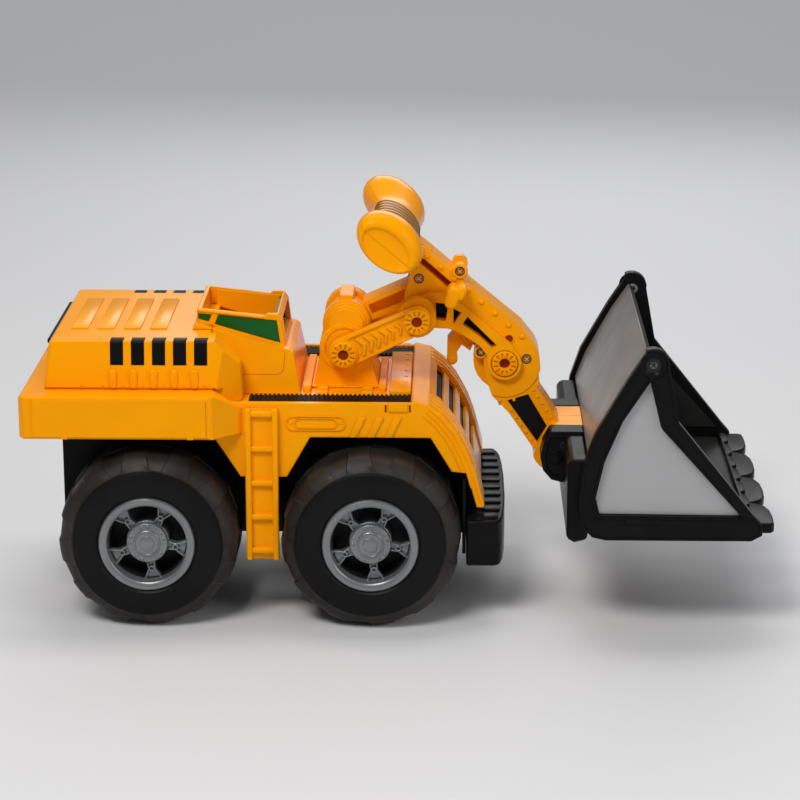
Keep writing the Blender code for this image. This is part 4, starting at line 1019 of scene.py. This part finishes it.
def build_bucket_details():
    for label, s in SIDES:
        boss = side_lathe([(4.6, 106.4), (8.6, 106.4), (8.6, 108.0), (8.0, 108.8), (6.2, 108.8), (5.5, 108.3),
                           (4.6, 107.8)], 44, EYE, s)
        piece("bucket_boss_" + label, boss, "bucket", BLACK)
        # A near-black disc of painted shade inside the boss.
        well = side_lathe([(0.0, 106.6), (4.7, 106.6), (4.7, 107.6), (0.0, 107.6)], 32, EYE, s)
        piece("bucket_well_shade_" + label, well, "bucket", SHADE_BLACK)
        screw("bucket_screw_" + label, (EYE[0], 107.9 * s, EYE[1]), (0, s, 0), 2.5, "bucket")
        washer = side_lathe([(1.4, 98.9), (3.0, 98.9), (3.4, 99.3), (3.4, 100.4), (1.4, 100.4)], 28,
                            (160.2, 180.2), s)
        piece("bucket_washer_" + label, washer, "bucket", SILVER)
        bead = bmesh.new()
        for outer, inner in ((grow(FRAME, -0.5), grow(FRAME, -1.9)), (grow(PANEL, 2.0), grow(PANEL, 0.5))):
            merge(bead, side_plate([outer, inner], 107.0, 108.3, s, 0.4, 2, 50.0))
        piece("frame_bead_" + label, bead, "bucket", BLACK)
        slab("side_liner_" + label, "xz", [grow(PANEL, 1.6)], *sided(98.9, 99.7, s), "bucket", FLOOR_GREY,
             0.1, 1)
        lug = [(143.6, 77), (167.4, 77), (166.4, 80.4), (144.6, 80.4)]
        slab("frame_lug_" + label, "xz", [lug], *sided(107.2, 108.2, s), "bucket", BLACK, 0.3, 1)
        recess = [(99.2, 113.6), (97.2, 106.5), (96.4, 100), (97.8, 92.5), (101.6, 88.2), (109.0, 86.4),
                  (112.0, 89), (112.6, 111), (109.5, 114)]
        slab("mount_rim_" + label, "xz", [grow(recess, 1.2), recess], *sided(39.6, 41.2, s), "bucket", BLACK,
             0.4, 2)
        cap = side_lathe([(0.0, 39.6), (4.6, 39.6), (4.6, 40.5), (4.0, 40.9), (0.0, 41.0)], 28, HINGE, s)
        piece("mount_cap_" + label, cap, "bucket", BLACK)
        stud = side_lathe([(1.2, 39.8), (2.3, 39.8), (2.3, 40.6), (1.2, 40.6)], 24, (107.4, 108.5), s)
        piece("mount_screw_" + label, stud, "bucket", FLOOR_GREY)
    cover = BACK + [(x, z) for x, z in reversed([(x - 0.55, z + 0.3) for x, z in BACK])]
    slab("bucket_back_cover", "xz", [cover], -99.4, 99.4, "bucket", SHELL_GREY, 0.1, 1)
    teeth = []
    for i in range(4):
        mid = -84.0 + 56.0 * i
        teeth += [(229, mid - 27), (233, mid - 25.5), (237.2, mid - 21), (239.4, mid - 13), (240.0, mid),
                  (239.4, mid + 13),
                  (237.2, mid + 21), (233, mid + 25.5), (229, mid + 27)]
    outline = [(222.3, -99.6)] + [(x, max(-99.6, min(99.6, y))) for x, y in teeth] + [(229, 99.6),
                                                                                      (222.3, 99.6)]
    flat = [outline[0]]
    for p in outline[1:]:
        if math.dist(p, flat[-1]) > 0.3:
            flat.append(p)
    bm = round_edges(outline_bm("xy", [flat], 68.8, 75.4), 1.2, 3, 50.0)
    steps = [(222.4, -99.5)]
    for i in range(7):
        mid = -84.0 + 28.0 * i
        steps += [(224.4, mid - 12), (227.4, mid - 8.5), (227.4, mid + 8.5), (224.4, mid + 12)]
    steps = [(x, max(-99.5, min(99.5, y))) for x, y in steps] + [(222.4, 99.5)]
    merge(bm, round_edges(outline_bm("xy", [steps], 70.0, 77.4), 0.8, 2, 50.0))
    piece("bucket_lip_look", bm, "bucket", BLACK, ("bucket_lip",))


build_stick_details()
build_bucket_details()


# ---- floor, light and camera ----
def build_stage():
    bm = bmesh.new()
    bmesh.ops.create_grid(bm, x_segments=1, y_segments=1, size=6.0)
    data = bpy.data.meshes.new("floor")
    bm.to_mesh(data)
    bm.free()
    floor = bpy.data.objects.new("floor", data)
    bpy.context.scene.collection.objects.link(floor)
    floor.location = (0, 2.0, 0.0)
    mat = bpy.data.materials.new("floor_pale")
    mat.use_nodes = True
    shader = mat.node_tree.nodes["Principled BSDF"]
    shader.inputs["Base Color"].default_value = (0.72, 0.72, 0.73, 1.0)
    shader.inputs["Roughness"].default_value = 0.75
    data.materials.append(mat)


def area_light(name, at, aim, size, power, color=(1, 1, 1)):
    data = bpy.data.lights.new(name, "AREA")
    data.shape = "RECTANGLE"
    data.size, data.size_y = size
    data.energy = power
    data.color = color
    obj = bpy.data.objects.new(name, data)
    bpy.context.scene.collection.objects.link(obj)
    obj.location = at
    obj.rotation_euler = (Vector(aim) - Vector(at)).to_track_quat("-Z", "Y").to_euler()
    return obj


def build_light():
    bpy.context.scene.view_settings.view_transform = "Standard"
    world = bpy.data.worlds.new("studio")
    world.use_nodes = True
    world.node_tree.nodes["Background"].inputs["Color"].default_value = (0.92, 0.95, 1.0, 1.0)
    world.node_tree.nodes["Background"].inputs["Strength"].default_value = 0.18
    bpy.context.scene.world = world
    area_light("key", (-0.5, -1.1, 1.5), (0, 0, 0.12), (0.7, 0.5), 19.0, (1.0, 0.98, 0.95))
    area_light("fill", (1.3, -1.0, 0.8), (0.05, 0, 0.1), (0.8, 0.8), 6.5)
    area_light("top", (0.0, 0.3, 1.7), (0, 0, 0.1), (1.2, 0.5), 8.0)
    area_light("back", (0.0, 3.4, 2.6), (0.0, 3.2, 0.0), (5.0, 3.0), 40.0)
    area_light("rim", (0.2, 1.6, 0.9), (0, 0, 0.15), (1.2, 0.5), 5.0)


CAMERA_PLACE = (0.03387, -1.66552, 0.60468)
CAMERA_TILT = 74.0
CAMERA_TURN = 1.165


def build_camera():
    data = bpy.data.cameras.new("photo_camera")
    data.lens = 117.0
    data.sensor_width = 36.0
    data.clip_start = 0.05
    obj = bpy.data.objects.new("photo_camera", data)
    bpy.context.scene.collection.objects.link(obj)
    obj.location = CAMERA_PLACE
    obj.rotation_euler = (math.radians(CAMERA_TILT), 0.0, math.radians(CAMERA_TURN))
    bpy.context.scene.camera = obj


build_stage()
build_light()
build_camera()
